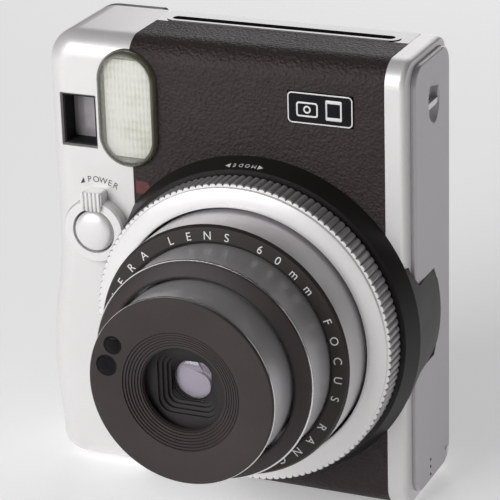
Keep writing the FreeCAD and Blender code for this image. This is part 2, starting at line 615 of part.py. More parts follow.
def lens_block():
    start = "-front - nose_reach + nose_deep"
    bore = "glass_rad + 0.2"
    plate = turned("hood_turned", (
        (start, "inner_rad - barrel_wall"), (start, "funnel_small - 1.6"), ("%s + hood_deep" % start, bore),
        ("%s + hood_deep + 4.6" % start, bore), ("%s + hood_deep + 4.6" % start, "glass_rad + 2"),
        ("%s + hood_deep" % start, "glass_rad + 2.4"), ("%s + 0.8" % start, "funnel_small + 0.4"),
        ("%s + 0.8" % start, "inner_rad - barrel_wall")))
    holes = [rod("blade_hole_%d" % side, "y", "blade_pin + running",
                 ("lens_x - blade_pivot", "%s - 1" % start, "lens_z + %s" % rise), "3")
             for side, rise in ((1, BLADE_RISE), (2, "-" + BLADE_RISE))]
    keep(cut("hood_solid", plate, *holes), "lens_hood")
    keep(turned("front_glass_turned", (
        ("%s + hood_deep + 0.2" % start, "0"), ("%s + hood_deep + 0.5" % start, "glass_rad * 0.6"),
        ("%s + hood_deep + 1.4" % start, bore), ("%s + hood_deep + 2.2" % start, bore),
        ("%s + hood_deep + 2.2" % start, "0"))), "front_lens")
    keep(turned("rear_glass_turned", (
        ("%s + hood_deep + 3" % start, "0"), ("%s + hood_deep + 3" % start, bore),
        ("%s + hood_deep + 3.8" % start, bore), ("%s + hood_deep + 4.4" % start, "glass_rad * 0.6"),
        ("%s + hood_deep + 4.6" % start, "0"))), "rear_lens")
    panes = []
    for number, (across, up, radius) in enumerate(SENSOR_EYES, 1):
        panes.append(rod("sensor_pane_%d" % number, "y", radius,
                         ("lens_x - %s" % across, "-front - nose_reach + 0.4", "lens_z + %s" % up), "1.2"))
    keep(group("sensor_group", *panes), "sensor_windows")


BLADE_RISE = "1.3"


def barrier_blades():
    """Two half-round blades that swing together between the front ring and the hood, each on its pin."""
    middle = Vector(size("lens_x"), 0, size("lens_z"))
    pivot = Vector(-size("blade_pivot"), 0, float(BLADE_RISE))
    hood_face = -size("front") - size("nose_reach") + size("nose_deep")
    thick = size("blade_thick")
    radius = size("glass_rad") + 1.0
    for sign, label, back in ((1, "upper_barrier_blade", 0.9), (-1, "lower_barrier_blade", 0.4)):
        disc = Part.makeCylinder(radius, thick, Vector(), Vector(0, 1, 0))
        half = Part.makeBox(60, 2, 30, Vector(-30, -0.5, size("running")))
        end = pivot.x - 1.2
        arm_wire = Part.makePolygon([Vector(end, 0, 0.1), Vector(0, 0, 0.1), Vector(0, 0, 3.4),
                                     Vector(end, 0, 2.5), Vector(end, 0, 0.1)])
        arm = Part.Face(arm_wire).extrude(Vector(0, thick, 0))
        pin = Part.makeCylinder(size("blade_pin"), thick + back - 0.4 + 0.7, Vector(pivot), Vector(0, 1, 0))
        blade = disc.common(half).fuse([arm, pin]).removeSplitter()
        blade.rotate(pivot, Vector(0, 1, 0), -size("blade_turn"))
        if sign < 0:
            blade = blade.mirror(Vector(), Vector(0, 0, 1))
        blade.translate(middle + Vector(0, hood_face - back - 0.1, 0))
        keep(feature(label + "_shape", blade), label)


# ---------------------------------------------------------------- film path
def film_frame():
    centre = "lens_x - 1"
    wall = "frame_wall"
    half = "film_wide / 2"
    low_y = "rear - rear_skin - 0.2 - film_thick"
    shell = box("frame_blank", ("%s - %s - %s" % (centre, half, wall), "%s - %s" % (low_y, wall),
                                "film_floor - %s" % wall),
                ("%s + %s + %s" % (centre, half, wall), "rear - rear_skin - 0.2", "film_floor + film_tall + %s" % wall))
    room = box("film_room", ("%s - %s" % (centre, half), low_y, "film_floor"),
               ("%s + %s" % (centre, half), "rear + 1", "film_floor + film_tall"))
    gate = box("film_gate", ("lens_x - image_wide / 2", "-front", "lens_z - image_tall / 2"),
               ("lens_x + image_wide / 2", "rear", "lens_z + image_tall / 2"))
    exit_slot = box("film_exit", ("slot_x - slot_long / 2", "slot_y - slot_gap / 2", "film_floor + film_tall - 1"),
                    ("slot_x + slot_long / 2", "slot_y + slot_gap / 2", "tall"))
    knuckle_room = rod("knuckle_room", "x", "knuckle_rad + slack", ("-door_left - 2", "hinge_y", "hinge_z"),
                       "door_left + door_right + 4")
    trimmed = cut("frame_trimmed", shell, room, gate, exit_slot, knuckle_room)
    lugs = [box("battery_rib", ("-battery_x + battery_wide / 2", "-battery_thick / 2", "film_floor"),
                ("%s - %s - %s + 0.2" % (centre, half, wall), "battery_thick / 2", "battery_tall"))]
    for number, x in enumerate(("-9", "15"), 1):
        lugs.append(rod("pin_lug_%d" % number, "x", "knuckle_rad", (x, "hinge_y", "hinge_z"), "3"))
        lugs.append(box("lug_web_%d" % number, (x, "hinge_y - knuckle_rad - slack - 0.6", "film_floor - %s" % wall),
                        ("%s + 3" % x, "hinge_y", "film_floor")))
    pin = rod("lug_bore", "x", "pin_rad", ("-door_left", "hinge_y", "hinge_z"), "door_left + door_right")
    keep(cut("frame_solid", fuse("frame_with_lugs", trimmed, *lugs), pin), "main_frame")
    keep(light_cone(), "light_cone")


def light_cone():
    """A short black rectangular funnel between the cover behind the lens and the film gate."""
    near = -size("front") + size("skin") + size("cover_wall")
    far = size("rear") - size("rear_skin") - 0.2 - size("film_thick") - size("frame_wall")
    wide, tall = size("image_wide") / 2, size("image_tall") / 2

    def section(grow, y):
        share = 0.9 if y == near else 1.0
        w = wide * share + grow
        t = tall * share + grow
        centre = Vector(size("lens_x"), y, size("lens_z"))
        corners = [centre + Vector(a * w, 0, b * t) for a, b in ((-1, -1), (1, -1), (1, 1), (-1, 1), (-1, -1))]
        return Part.makePolygon(corners)

    outer = Part.makeLoft([section(1.2, near), section(1.2, far)], True, True)
    inner = Part.makeLoft([section(0, near), section(0, far)], True, True)
    return feature("light_cone_shape", outer.cut(inner))


def gear(teeth, phase, bore):
    """A spur gear in the yz plane about the origin; phase in degrees turns its first tooth from +y."""
    module = (2 * size("roller_rad") + size("roller_gap")) / size("roller_teeth")
    pitch = module * teeth / 2
    tip, root = pitch + 0.75 * module, pitch - 1.1 * module
    step = math.tau / teeth
    corners = []
    for k in range(teeth):
        middle = math.radians(phase) + k * step
        for radius, share in ((root, -0.26), (tip, -0.11), (tip, 0.11), (root, 0.26)):
            angle = middle + share * step
            corners.append(Vector(0, radius * math.cos(angle), radius * math.sin(angle)))
    corners.append(corners[0])
    wheel = Part.Face(Part.makePolygon(corners)).extrude(Vector(size("gear_thick"), 0, 0))
    if bore:
        wheel = wheel.cut(Part.makeCylinder(bore, 20, Vector(-5, 0, 0), Vector(1, 0, 0)))
    return wheel, pitch


def drive():
    """Motor, pinion, two idlers and the two pressure rollers with their gears."""
    roll = size("roller_rad")
    spread = roll + size("roller_gap") / 2
    plane = size("lens_x") - 1 - size("film_wide") / 2 - size("frame_wall") - size("slack") - size("gear_thick")
    front_y, rear_y = size("slot_y") - spread, size("slot_y") + spread
    height = size("roller_z")
    half = size("roller_long") / 2
    teeth = [int(size(name)) for name in ("roller_teeth", "idler_teeth", "pinion_teeth")]
    module = 2 * spread / teeth[0]
    # The chain runs straight down from the front roller, each centre distance half the teeth times the module.
    upper = (front_y, height - module * (teeth[0] + teeth[1]) / 2)
    lower = (front_y, upper[1] - module * teeth[1])
    motor = (front_y, lower[1] - module * (teeth[1] + teeth[2]) / 2)
    # Each gear's first tooth points into a gap of the gear before it.
    spots = ((front_y, height), upper, lower, motor)
    counts = (teeth[0], teeth[1], teeth[1], teeth[2])
    phases = [0.0]
    for k in range(1, 4):
        line = math.degrees(math.atan2(spots[k][1] - spots[k - 1][1], spots[k][0] - spots[k - 1][0]))
        step_before, step_here = 360.0 / counts[k - 1], 360.0 / counts[k]
        lead = (line - phases[k - 1]) / step_before
        part_way = lead - math.floor(lead)
        phases.append(line + 180 + (part_way + 0.5) * step_here)
    rear_phase = 180 + 0.5 * 360.0 / teeth[0]

    def roller(y, phase):
        wheel, pitch = gear(teeth[0], phase, None)
        wheel.translate(Vector(plane, y, height))
        barrel = Part.makeCylinder(roll, 2 * half, Vector(size("slot_x") - half, y, height), Vector(1, 0, 0))
        journal = Part.makeCylinder(size("journal_rad"), size("slot_x") + half + 2.6 - plane,
                                    Vector(plane, y, height), Vector(1, 0, 0))
        return wheel.fuse([barrel, journal]).removeSplitter()

    keep(feature("front_roller_shape", roller(front_y, 0.0)), "front_roller")
    keep(feature("rear_roller_shape", roller(rear_y, rear_phase)), "rear_roller")
    for label, spot, phase, count in (("upper_drive_gear", upper, phases[1], teeth[1]),
                                      ("lower_drive_gear", lower, phases[2], teeth[1])):
        wheel, pitch = gear(count, phase, size("journal_rad") * 0.7 + size("running"))
        wheel.translate(Vector(plane, spot[0], spot[1]))
        keep(feature(label + "_shape", wheel), label)
    wheel, pitch = gear(teeth[2], phases[3], None)
    shaft = Part.makeCylinder(0.75, 4.5, Vector(-4, 0, 0), Vector(1, 0, 0))
    pinion = wheel.fuse(shaft).removeSplitter()
    pinion.translate(Vector(plane, motor[0], motor[1]))
    keep(feature("pinion_shape", pinion), "motor_pinion")
    case_end = plane - 1.4
    can = Part.makeCylinder(size("motor_rad"), size("motor_long"), Vector(case_end - size("motor_long"), *motor),
                            Vector(1, 0, 0))
    bore = Part.makeCylinder(0.75 + size("running"), 6, Vector(case_end - 5.6, *motor), Vector(1, 0, 0))
    keep(feature("motor_shape", can.cut(bore)), "drive_motor")
    # The bracket's two cheeks hold the rollers; its left cheek carries the idler studs.
    ends = []
    left = size("slot_x") - half - size("slack")
    right = size("slot_x") + half + size("slack")
    for x0, x1 in ((left - 1.2, left), (right, right + 1.2)):
        cheek = Part.makeBox(x1 - x0, 11.2, 7.2, Vector(x0, size("slot_y") - 5.6, height - 3.6))
        for y in (front_y, rear_y):
            cheek = cheek.cut(Part.makeCylinder(size("journal_rad") + size("running"), 4,
                                                Vector(x0 - 1, y, height), Vector(1, 0, 0)))
        ends.append(cheek)
    rail = Part.makeBox(right - left + 2.4, 0.8, 1.6, Vector(left - 1.2, size("slot_y") - 5.6, height - 3.8))
    bracket = ends[0].fuse([ends[1], rail])
    keep(feature("bracket_shape", bracket.removeSplitter()), "roller_bracket")
    studs = []
    for spot in (upper, lower):
        studs.append(Part.makeCylinder(size("journal_rad") * 0.7, size("gear_thick") + size("slack") + 0.6,
                                       Vector(plane - 0.6, spot[0], spot[1]), Vector(1, 0, 0)))
    keep(feature("stud_shape", Part.makeCompound(studs)), "gear_studs")


# ---------------------------------------------------------------- film door
def film_door():
    """The rear door turns down on knuckles round a steel pin low on the case."""
    face_low = "hinge_z + knuckle_rad + 0.6"
    shell = block("door_blank", ("-door_left", "rear - rear_skin + seam", "hinge_z"),
                  ("door_right", "rear - skin", "tall - skin"), None, None)
    soften(shell, "x", "3.2", lambda p: p.y > size("rear") - 1 and p.z > 50)
    room = box("door_room", ("-door_left + 1.4", "rear - rear_skin - 1", "hinge_z + 5"),
               ("door_right - 1.4", "rear - skin - 1.5", "tall - skin - 1.8"))
    window = box("window_hole", ("lens_x - 8 - seam", "rear - rear_skin", "66 - seam"),
                 ("lens_x + 8 + seam", "rear + 1", "84 + seam"))
    latch_room = box("latch_room", ("door_right - 9", "rear - 2.6", "58"), ("door_right - 3", "rear + 1", "72"))
    knuckles = []
    spaces = []
    for number, start in enumerate(("-door_left + 4", "-2", "door_right - 12"), 1):
        knuckles.append(rod("knuckle_%d" % number, "x", "knuckle_rad", (start, "hinge_y", "hinge_z"), "8"))
    for number, (x0, x1) in enumerate((("-door_left - 1", "-door_left + 4"), ("-door_left + 12", "-2"),
                                       ("6", "door_right - 12"), ("door_right - 4", "door_right + 1")), 1):
        spaces.append(box("knuckle_space_%d" % number, (x0, "rear - rear_skin - 1", "0"), (x1, "rear + 1", face_low)))
    gap_front = box("door_foot_relief", ("-door_left - 1", "rear - rear_skin - 2", "0"),
                    ("door_right + 1", "hinge_y", face_low))
    bore = rod("door_bore", "x", "pin_rad + running", ("-door_left - 2", "hinge_y", "hinge_z"),
               "door_left + door_right + 4")
    plain = cut("door_trimmed", shell, room, window, latch_room, gap_front, *spaces)
    keep(cut("door_solid", fuse("door_with_knuckles", plain, *knuckles), bore), "back_door")
    hide = block("hide_blank", ("-door_left + 0.4", "rear - skin", "hinge_z + 6"),
                 ("door_right - 0.4", "rear", "tall - 4.4"), "y", "1.2")
    keep(cut("hide_solid", hide,
             box("hide_window", ("lens_x - 9.4", "rear - 2", "64.6"), ("lens_x + 9.4", "rear + 1", "85.4")),
             box("hide_latch", ("door_right - 9", "rear - 2.6", "58"), ("door_right - 3", "rear + 1", "72"))),
         "door_leather")
    keep(block("window_blank", ("lens_x - 8", "rear - 1.4", "66"), ("lens_x + 8", "rear - 0.2", "84"), "y", "1.4"),
         "film_window")
    keep(rod("hinge_rod", "x", "pin_rad", ("-door_left + 2", "hinge_y", "hinge_z"),
             "door_left + plate_side - 1.8"), "hinge_pin")
    keep(block("latch_blank", ("door_right - 8.7", "rear - 2.3", "58.3"), ("door_right - 3.3", "rear + 0.4", "68.3"),
               "y", "1.0"), "door_latch")


# ---------------------------------------------------------------- flash and viewfinder
def flash_unit():
    dome = grown_flash("dome_blank", "0", "-front - flash_proud", "-front + 2")
    soften(dome, None, "2.2", lambda p: p.y < -size("front") - size("flash_proud") + 0.01)
    room = grown_flash("dome_room", "-1.2", "-front - flash_proud + 1.2", "-front + 3")
    keep(cut("dome_solid", dome, room), "flash_lens")
    tray = grown_flash("tray_blank", "0", "-front + 2", "-front + flash_deep")
    hollow = block("tray_room", ("-flash_x - flash_wide / 2 + 1.2", "-front - 6", "flash_z - flash_tall / 2 + 1.2"),
                   ("-flash_x + flash_wide / 2 - 1.2", "-front + flash_deep - 1.2", "flash_z + flash_tall / 2 - 1.2"),
                   "x", "4.5")
    bulb = rod("flash_bulb", "z", "1.1", ("-flash_x", "-front + 4.2", "flash_z - flash_tall / 2 + 1.2"),
               "flash_tall - 2.4")
    keep(bulb, "flash_tube")
    keep(cut("tray_solid", tray, hollow, bulb), "flash_reflector")


def viewfinder():
    low = ("-view_x - view_wide / 2", "-front + 0.8", "view_z - view_tall / 2")
    high = ("-view_x + view_wide / 2", "rear - 1.2", "view_z + view_tall / 2")
    hollow = box("tunnel_room", ("%s + view_wall" % low[0], "-front - 1", "%s + view_wall" % low[2]),
                 ("%s - view_wall" % high[0], "rear + 1", "%s - view_wall" % high[2]))
    keep(cut("tunnel_solid", box("tunnel_blank", low, high), hollow), "viewfinder_tunnel")
    inside = ("view_wide / 2 - view_wall", "view_tall / 2 - view_wall")
    keep(box("front_pane", ("-view_x - (%s)" % inside[0], "-front + view_deep", "view_z - (%s)" % inside[1]),
             ("-view_x + (%s)" % inside[0], "-front + view_deep + 1.2", "view_z + (%s)" % inside[1])),
         "viewfinder_window")
    keep(box("eye_pane", ("-view_x - (%s)" % inside[0], "rear - 3.2", "view_z - (%s)" % inside[1]),
             ("-view_x + (%s)" % inside[0], "rear - 1.8", "view_z + (%s)" % inside[1])), "eyepiece_lens")


# ---------------------------------------------------------------- controls
def power_and_release():
    collar = "release_rad + slack"
    ring = turned("lever_turned", (
        ("-front - 0.1", "lever_rad"), ("-front - lever_thick + 0.5", "lever_rad"),
        ("-front - lever_thick", "lever_rad - 0.5"), ("-front - lever_thick", collar),
        ("-front + wall + 0.6", collar), ("-front + wall + 0.6", "%s + 1" % collar),
        ("-front - 0.1", "%s + 1" % collar)), "-power_x", "power_z")
    tab = block("lever_tab", ("-power_x - 2.8", "-front - lever_thick - 0.6", "power_z + release_rad + 1.2"),
                ("-power_x + 2.8", "-front - 0.1", "power_z + lever_rad + 2"), "y", "0.8")
    keep(fuse("lever_solid", ring, tab), "power_lever")
    keep(turned("release_turned", (
        ("-front - lever_thick - 1.1", "0"), ("-front - lever_thick - 0.8", "release_rad * 0.6"),
        ("-front - lever_thick", "release_rad"), ("-front + wall + 1", "release_rad"),
        ("-front + wall + 1", "release_rad + 1"), ("-front + wall + 2", "release_rad + 1"),
        ("-front + wall + 2", "0")), "-power_x", "power_z"), "shutter_button")
    wire, coil_rad = size("spring_wire"), size("spring_rad")
    section = [Vector(coil_rad + wire * math.cos(k * math.tau / 8), 0, wire * math.sin(k * math.tau / 8))
               for k in range(9)]
    helix = Part.Wire(Part.makeHelix(1.1, 3.8, coil_rad))
    coil = helix.makePipeShell([Part.makePolygon(section)], True, True)
    coil.rotate(Vector(), Vector(1, 0, 0), -90)
    coil.translate(Vector(-size("power_x"), -size("front") + size("wall") + 2 + wire, size("power_z")))
    keep(feature("spring_shape", coil), "shutter_spring")
    keep(turned_x("side_button", "side_button_rad", "-grip_left - 0.7", "-grip_left + 3.9", "-side_button_y",
                  "side_button_z", "side_button_rad + 0.9", "1"), "side_shutter_button")
    keep(lamp_block("lamp_pane", "-front + 0.1", "-front + 2.1"), "timer_lamp")
    keep(block("badge_blank", ("badge_x - badge_wide / 2", "-front - 0.3", "badge_z - badge_tall / 2"),
               ("badge_x + badge_wide / 2", "-front + skin", "badge_z + badge_tall / 2"), "y", "1.2"), "badge_plate")


def turned_x(name, radius, x0, x1, y, z, flange, flange_thick):
    """A round button along x with a retaining flange at its inner end."""
    stem = rod(name + "_stem", "x", radius, (x0, y, z), "(%s) - (%s)" % (x1, x0))
    disc = rod(name + "_flange", "x", flange, ("%s - %s" % (x1, flange_thick), y, z), flange_thick)
    return fuse(name + "_solid", stem, disc)


def rear_controls():
    keep(box("screen_pane", ("-panel_x - screen_wide / 2", "rear - 1.4", "screen_z - screen_tall / 2"),
             ("-panel_x + screen_wide / 2", "rear - 0.2", "screen_z + screen_tall / 2")), "display_window")
    for number, height in enumerate(KEY_HEIGHTS, 1):
        cap = block("key_cap_%d" % number, ("-panel_x - key_wide / 2", "rear - wall - 0.1", "%s - key_tall / 2" % height),
                    ("-panel_x + key_wide / 2", "rear + 0.6", "%s + key_tall / 2" % height), "y", "1.2")
        base = box("key_base_%d" % number,
                   ("-panel_x - key_wide / 2 - 0.8", "rear - wall - 0.9", "%s - key_tall / 2 - 0.6" % height),
                   ("-panel_x + key_wide / 2 + 0.8", "rear - wall - 0.1", "%s + key_tall / 2 + 0.6" % height))
        keep(fuse("key_solid_%d" % number, cap, base), "control_button_%d" % number)


# ---------------------------------------------------------------- power, board and base
def power_and_base():
    keep(block("cell_blank", ("-battery_x - battery_wide / 2", "-battery_thick / 2", "wall + 0.4"),
               ("-battery_x + battery_wide / 2", "battery_thick / 2", "wall + 0.4 + battery_tall"), "z", "2"),
         "battery")
    lid = block("lid_blank", ("-battery_x - battery_wide / 2 - 0.5", "-battery_thick / 2 - 0.5", "0"),
                ("-battery_x + battery_wide / 2 + 0.5", "battery_thick / 2 + 0.5", "lid_thick"))
    # The hinged end is half round about the hinge axis.
    soften(lid, "y", "lid_thick / 2 - 0.01", lambda p: p.x < -size("battery_x"))
    keep(lid, "battery_cover")
    insert = turned_z("insert", "socket_boss", "2.4", "0", "wall", "film_floor - frame_wall")
    keep(cut("insert_bored", insert, rod("thread_bore", "z", "socket_rad", ("0", "0", "-0.5"),
                                         "socket_deep + 0.5")), "tripod_socket")
    pads = []
    corners = [(x, y) for x in ("-foot_left", "foot_right") for y in ("foot_front - front", "foot_rear")]
    for number, (x, y) in enumerate(corners, 1):
        pads.append(rod("foot_%d" % number, "z", "foot_rad", (x, y, "-foot_high"), "foot_high"))
    keep(group("feet_group", *pads), "feet")
    keep(box("board_blank", ("-upper_left + wall", "-front + wall + 6.2", "39"),
             ("-trim_left - 4.4", "-front + wall + 7.4", "71")),
         "circuit_board")


def turned_z(name, flange, stem, low, step, high):
    """A stepped round insert along z: a flange from low to step, then a stem to high."""
    disc = rod(name + "_flange", "z", flange, ("0", "0", low), "%s - (%s)" % (step, low))
    post = rod(name + "_stem", "z", "%s + socket_rad - 1" % stem, ("0", "0", low), "%s - (%s)" % (high, low))
    return fuse(name + "_blank", disc, post)


for make in (left_cover, back_panel, front_covers, lower_cover, top_deck, right_end, lens_shroud, lens_rings,
             lens_block, barrier_blades, film_frame, drive, film_door, flash_unit, viewfinder,
             power_and_release, rear_controls, power_and_base):
    make()

# ---------------------------------------------------------------- check and write
doc.recompute()
for thing in doc.Objects:
    if "Invalid" in thing.State or "Error" in thing.State:
        raise RuntimeError("%s failed: %s" % (thing.Label, thing.State))
os.makedirs("parts", exist_ok=True)
for thing in SUBPARTS:
    if thing.Shape.isNull() or not thing.Shape.isValid() or not thing.Shape.Solids:
        raise RuntimeError("%s has no valid solid" % thing.Label)
    thing.Shape.exportStep("parts/%s.step" % thing.Label)
print(len(SUBPARTS), "sub-parts written")
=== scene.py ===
from math import atan2, cos, degrees, pi, radians, sin, tau

import bpy
from mathutils import Matrix, Vector


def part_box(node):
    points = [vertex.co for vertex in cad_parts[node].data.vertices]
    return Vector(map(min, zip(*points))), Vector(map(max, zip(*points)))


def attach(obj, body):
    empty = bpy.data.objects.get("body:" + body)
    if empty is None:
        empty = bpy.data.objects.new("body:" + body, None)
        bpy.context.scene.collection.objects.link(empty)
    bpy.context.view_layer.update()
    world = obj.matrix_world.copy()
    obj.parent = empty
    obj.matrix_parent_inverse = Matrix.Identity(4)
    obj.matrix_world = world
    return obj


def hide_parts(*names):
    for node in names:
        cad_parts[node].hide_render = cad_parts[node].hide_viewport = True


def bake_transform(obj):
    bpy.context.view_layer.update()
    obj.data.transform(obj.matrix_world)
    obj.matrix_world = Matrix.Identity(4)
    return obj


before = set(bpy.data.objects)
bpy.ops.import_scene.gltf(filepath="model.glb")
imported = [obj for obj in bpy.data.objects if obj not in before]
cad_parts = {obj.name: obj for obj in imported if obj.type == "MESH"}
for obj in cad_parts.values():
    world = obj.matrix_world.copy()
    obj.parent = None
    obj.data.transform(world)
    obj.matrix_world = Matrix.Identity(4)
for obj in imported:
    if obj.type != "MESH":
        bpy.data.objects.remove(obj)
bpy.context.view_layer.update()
MM = 0.001


# ------------------------------------------------------------------ camera, lights and floor
# A long lens a little above and to the right of the lens axis, one broad soft light from the front left,
# a weak one from the right, one behind that shines along the top, and a pale table.
def look_from(thing, place, target, roll=0.0):
    """Turn a camera or light at a place towards a target."""
    ahead = (Vector(target) - Vector(place)).normalized()
    right = ahead.cross(Vector((0, 0, 1))).normalized()
    up = right.cross(ahead)
    side = right * cos(roll) + up * sin(roll)
    top = side.cross(ahead)
    thing.matrix_world = Matrix.Translation(place) @ Matrix((side, top, -ahead)).transposed().to_4x4()


bpy.ops.object.camera_add()
camera = bpy.context.object
camera.data.lens = 183.0
camera.data.sensor_width = 36.0
look_from(camera, (0.2347, -0.5299, 0.2844), (0.00766, -0.01764, 0.06424), radians(-1.76))
bpy.context.scene.camera = camera

for label, place, power, width in (("key_light", (-0.45, -0.85, 0.5), 7.8, 0.7),
                                   ("fill_light", (0.75, -0.35, 0.35), 0.2, 0.5),
                                   ("back_light", (-0.1, 1.0, 0.45), 4.5, 0.9)):
    bpy.ops.object.light_add(type="AREA")
    lamp = bpy.context.object
    lamp.name = label
    lamp.data.energy = power
    lamp.data.size = width
    look_from(lamp, place, (0, -0.02, 0.05))

world = bpy.data.worlds.new("studio")
world.use_nodes = True
world.node_tree.nodes["Background"].inputs["Color"].default_value = (1.0, 0.99, 0.98, 1)
world.node_tree.nodes["Background"].inputs["Strength"].default_value = 0.08
bpy.context.scene.world = world
bpy.context.scene.view_settings.view_transform = "Standard"

bpy.ops.mesh.primitive_plane_add(size=6, location=(0, 0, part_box("feet")[0].z))
floor = bpy.context.object
floor.name = "table_top"
table = bpy.data.materials.new("pale_table")
table.use_nodes = True
for socket, value in (("Base Color", (0.9, 0.9, 0.9, 1)), ("Roughness", 0.8),
                      ("Emission Color", (1, 1, 1, 1)), ("Emission Strength", 0.3)):
    table.node_tree.nodes["Principled BSDF"].inputs[socket].default_value = value
floor.data.materials.append(table)


# ------------------------------------------------------------------ silver ends of the case
# The grip end and the right end cap are moulded covers with a satin silver paint: a fine metal flake under
# a thin clear coat, with slight unevenness in its gloss.
class Signal:
    """One value or colour in a material. Sums and products of signals add Math nodes."""

    def __init__(self, tree, socket=None):
        self.tree = tree
        self.socket = socket

    def node(self, kind, settings=None, sockets=None, output=0):
        """Add a node: its settings first, then numbers or signals on its sockets."""
        made = self.tree.nodes.new("ShaderNode" + kind)
        for key, value in (settings or {}).items():
            if key == "stops":
                for number, (place, colour) in enumerate(value):
                    ramp = made.color_ramp.elements
                    stop = ramp[number] if number < len(ramp) else ramp.new(place)
                    stop.position = place
                    stop.color = (*colour, 1)
            else:
                setattr(made, key, value)
        for key, value in (sockets or {}).items():
            if isinstance(value, Signal):
                self.tree.links.new(value.socket, made.inputs[key])
            else:
                made.inputs[key].default_value = value
        return Signal(self.tree, made.outputs[output])

    def math(self, operation, *values):
        return self.node("Math", {"operation": operation}, dict(enumerate(values)))

    def __add__(self, other):
        return self.math("ADD", self, other)

    def __sub__(self, other):
        return self.math("SUBTRACT", self, other)

    def __rsub__(self, other):
        return self.math("SUBTRACT", other, self)

    def __mul__(self, other):
        return self.math("MULTIPLY", self, other)

    def __truediv__(self, other):
        return self.math("DIVIDE", self, other)

    __radd__ = __add__
    __rmul__ = __mul__

    def noise(self, scale, detail=2.0):
        return self.node("TexNoise", {}, {"Vector": self, "Scale": scale, "Detail": detail})

    def shades(self, *stops):
        """Turn a value into a colour through the given (place, colour) stops."""
        return self.node("ValToRGB", {"stops": stops}, {"Fac": self})

    def bump(self, height, strength, depth):
        return self.node("Bump", {}, {"Height": height, "Strength": strength, "Distance": depth})


def finish(name, **fixed):
    """A new material: its shader's fixed sockets, and the object coordinates to draw patterns with."""
    material = bpy.data.materials.new(name)
    material.use_nodes = True
    shader = material.node_tree.nodes["Principled BSDF"]
    for key, value in fixed.items():
        shader.inputs[key.replace("_", " ")].default_value = value
    place = Signal(material.node_tree).node("TexCoord", output=3)
    return material, place, shader.inputs


def feed(inputs, **signals):
    """Link signals to a shader's sockets."""
    for key, value in signals.items():
        value.tree.links.new(value.socket, inputs[key.replace("_", " ")])


def dress(node, material):
    """Give a CAD node its finished material."""
    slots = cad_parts[node].data.materials
    slots.clear()
    slots.append(material)


def mottled(name, scale, low, high, detail=2.0, **fixed):
    """A plain material whose colour drifts a little between two tones."""
    material, place, inputs = finish(name, **fixed)
    feed(inputs, Base_Color=place.noise(scale, detail).shades((0.3, low), (0.7, high)))
    return material


def painted_silver(name, pale, dark, rough):
    material, place, inputs = finish(name, Metallic=0.35, Coat_Weight=0.15, Coat_Roughness=0.2)
    flake = place.noise(5200.0, 1.0)
    cloud = place.noise(60.0, 3.0)
    feed(inputs, Base_Color=(flake * 0.7 + cloud * 0.3).shades((0.3, dark), (0.7, pale)),
         Roughness=cloud * 0.12 + rough, Normal=place.bump(flake, 0.12, 0.00003))
    return material


silver_paint = painted_silver("satin_silver_paint", (0.86, 0.85, 0.845), (0.78, 0.77, 0.765), 0.34)
for node in ("left_cover", "right_cover"):
    dress(node, silver_paint)


# ------------------------------------------------------------------ leather on the front and on the film door
# Thin black leatherette with a fine pebbled grain, glued to the moulded cover and turned over its top edge.
def pebbled_leather(name):
    material, place, inputs = finish(name, Specular_IOR_Level=0.35)
    pebble = place.node("TexVoronoi", {"feature": "SMOOTH_F1"}, {"Vector": place, "Scale": 1500.0,
                                                               "Smoothness": 0.5, "Randomness": 1.0})
    wrinkle = place.noise(1100.0, 6.0)
    wear = place.noise(35.0, 4.0)
    height = pebble * 0.6 + wrinkle * 0.9
    feed(inputs, Base_Color=(wrinkle * 0.55 + wear * 0.45).shades((0.3, (0.019, 0.012, 0.0125)),
                                                                (0.75, (0.043, 0.028, 0.029))),
         Roughness=0.62 - wear * 0.12, Normal=place.bump(height, 0.95, 0.00032))
    return material


leather = pebbled_leather("pebbled_leather")
for node in ("front_leather", "door_leather"):
    dress(node, leather)


# ------------------------------------------------------------------ black mouldings
# The shroud, deck, door, rear panel and bottom are moulded in black plastic with a very fine spark texture;
# the parts inside the light path are dead matt.
def black_moulding(name, tone, rough, grain, **fixed):
    material, place, inputs = finish(name, Specular_IOR_Level=0.4, **fixed)
    spark = place.noise(3800.0, 3.0)
    rub = place.noise(90.0, 4.0)
    low = tuple(0.75 * value for value in tone)
    high = tuple(1.25 * value for value in tone)
    feed(inputs, Base_Color=(spark * 0.5 + rub * 0.5).shades((0.3, low), (0.7, high)),
         Roughness=rub * 0.14 + rough, Normal=place.bump(spark, grain, 0.00005))
    return material


black_plastic = black_moulding("fine_black_plastic", (0.012, 0.0105, 0.0095), 0.38, 0.25)
matt_black = black_moulding("matt_black_plastic", (0.009, 0.0085, 0.008), 0.7, 0.4)
nose_plastic = black_moulding("soft_dark_plastic", (0.040, 0.029, 0.030), 0.48, 0.18)
ring_plastic = black_moulding("lettering_ring_plastic", (0.026, 0.018, 0.018), 0.46, 0.18)
glossy_black = black_moulding("polished_black_plastic", (0.012, 0.0105, 0.0095), 0.1, 0.05, Coat_Weight=1.0)
dress("top_deck", glossy_black)
for node in ("lens_shroud", "bottom_cover", "back_panel", "back_door", "battery_cover",
             "control_button_1", "control_button_2", "control_button_3", "control_button_4"):
    dress(node, black_plastic)
for node in ("main_frame", "light_cone", "front_cover", "viewfinder_tunnel", "upper_barrier_blade",
             "lower_barrier_blade"):
    dress(node, matt_black)
dress("lettered_ring", ring_plastic)


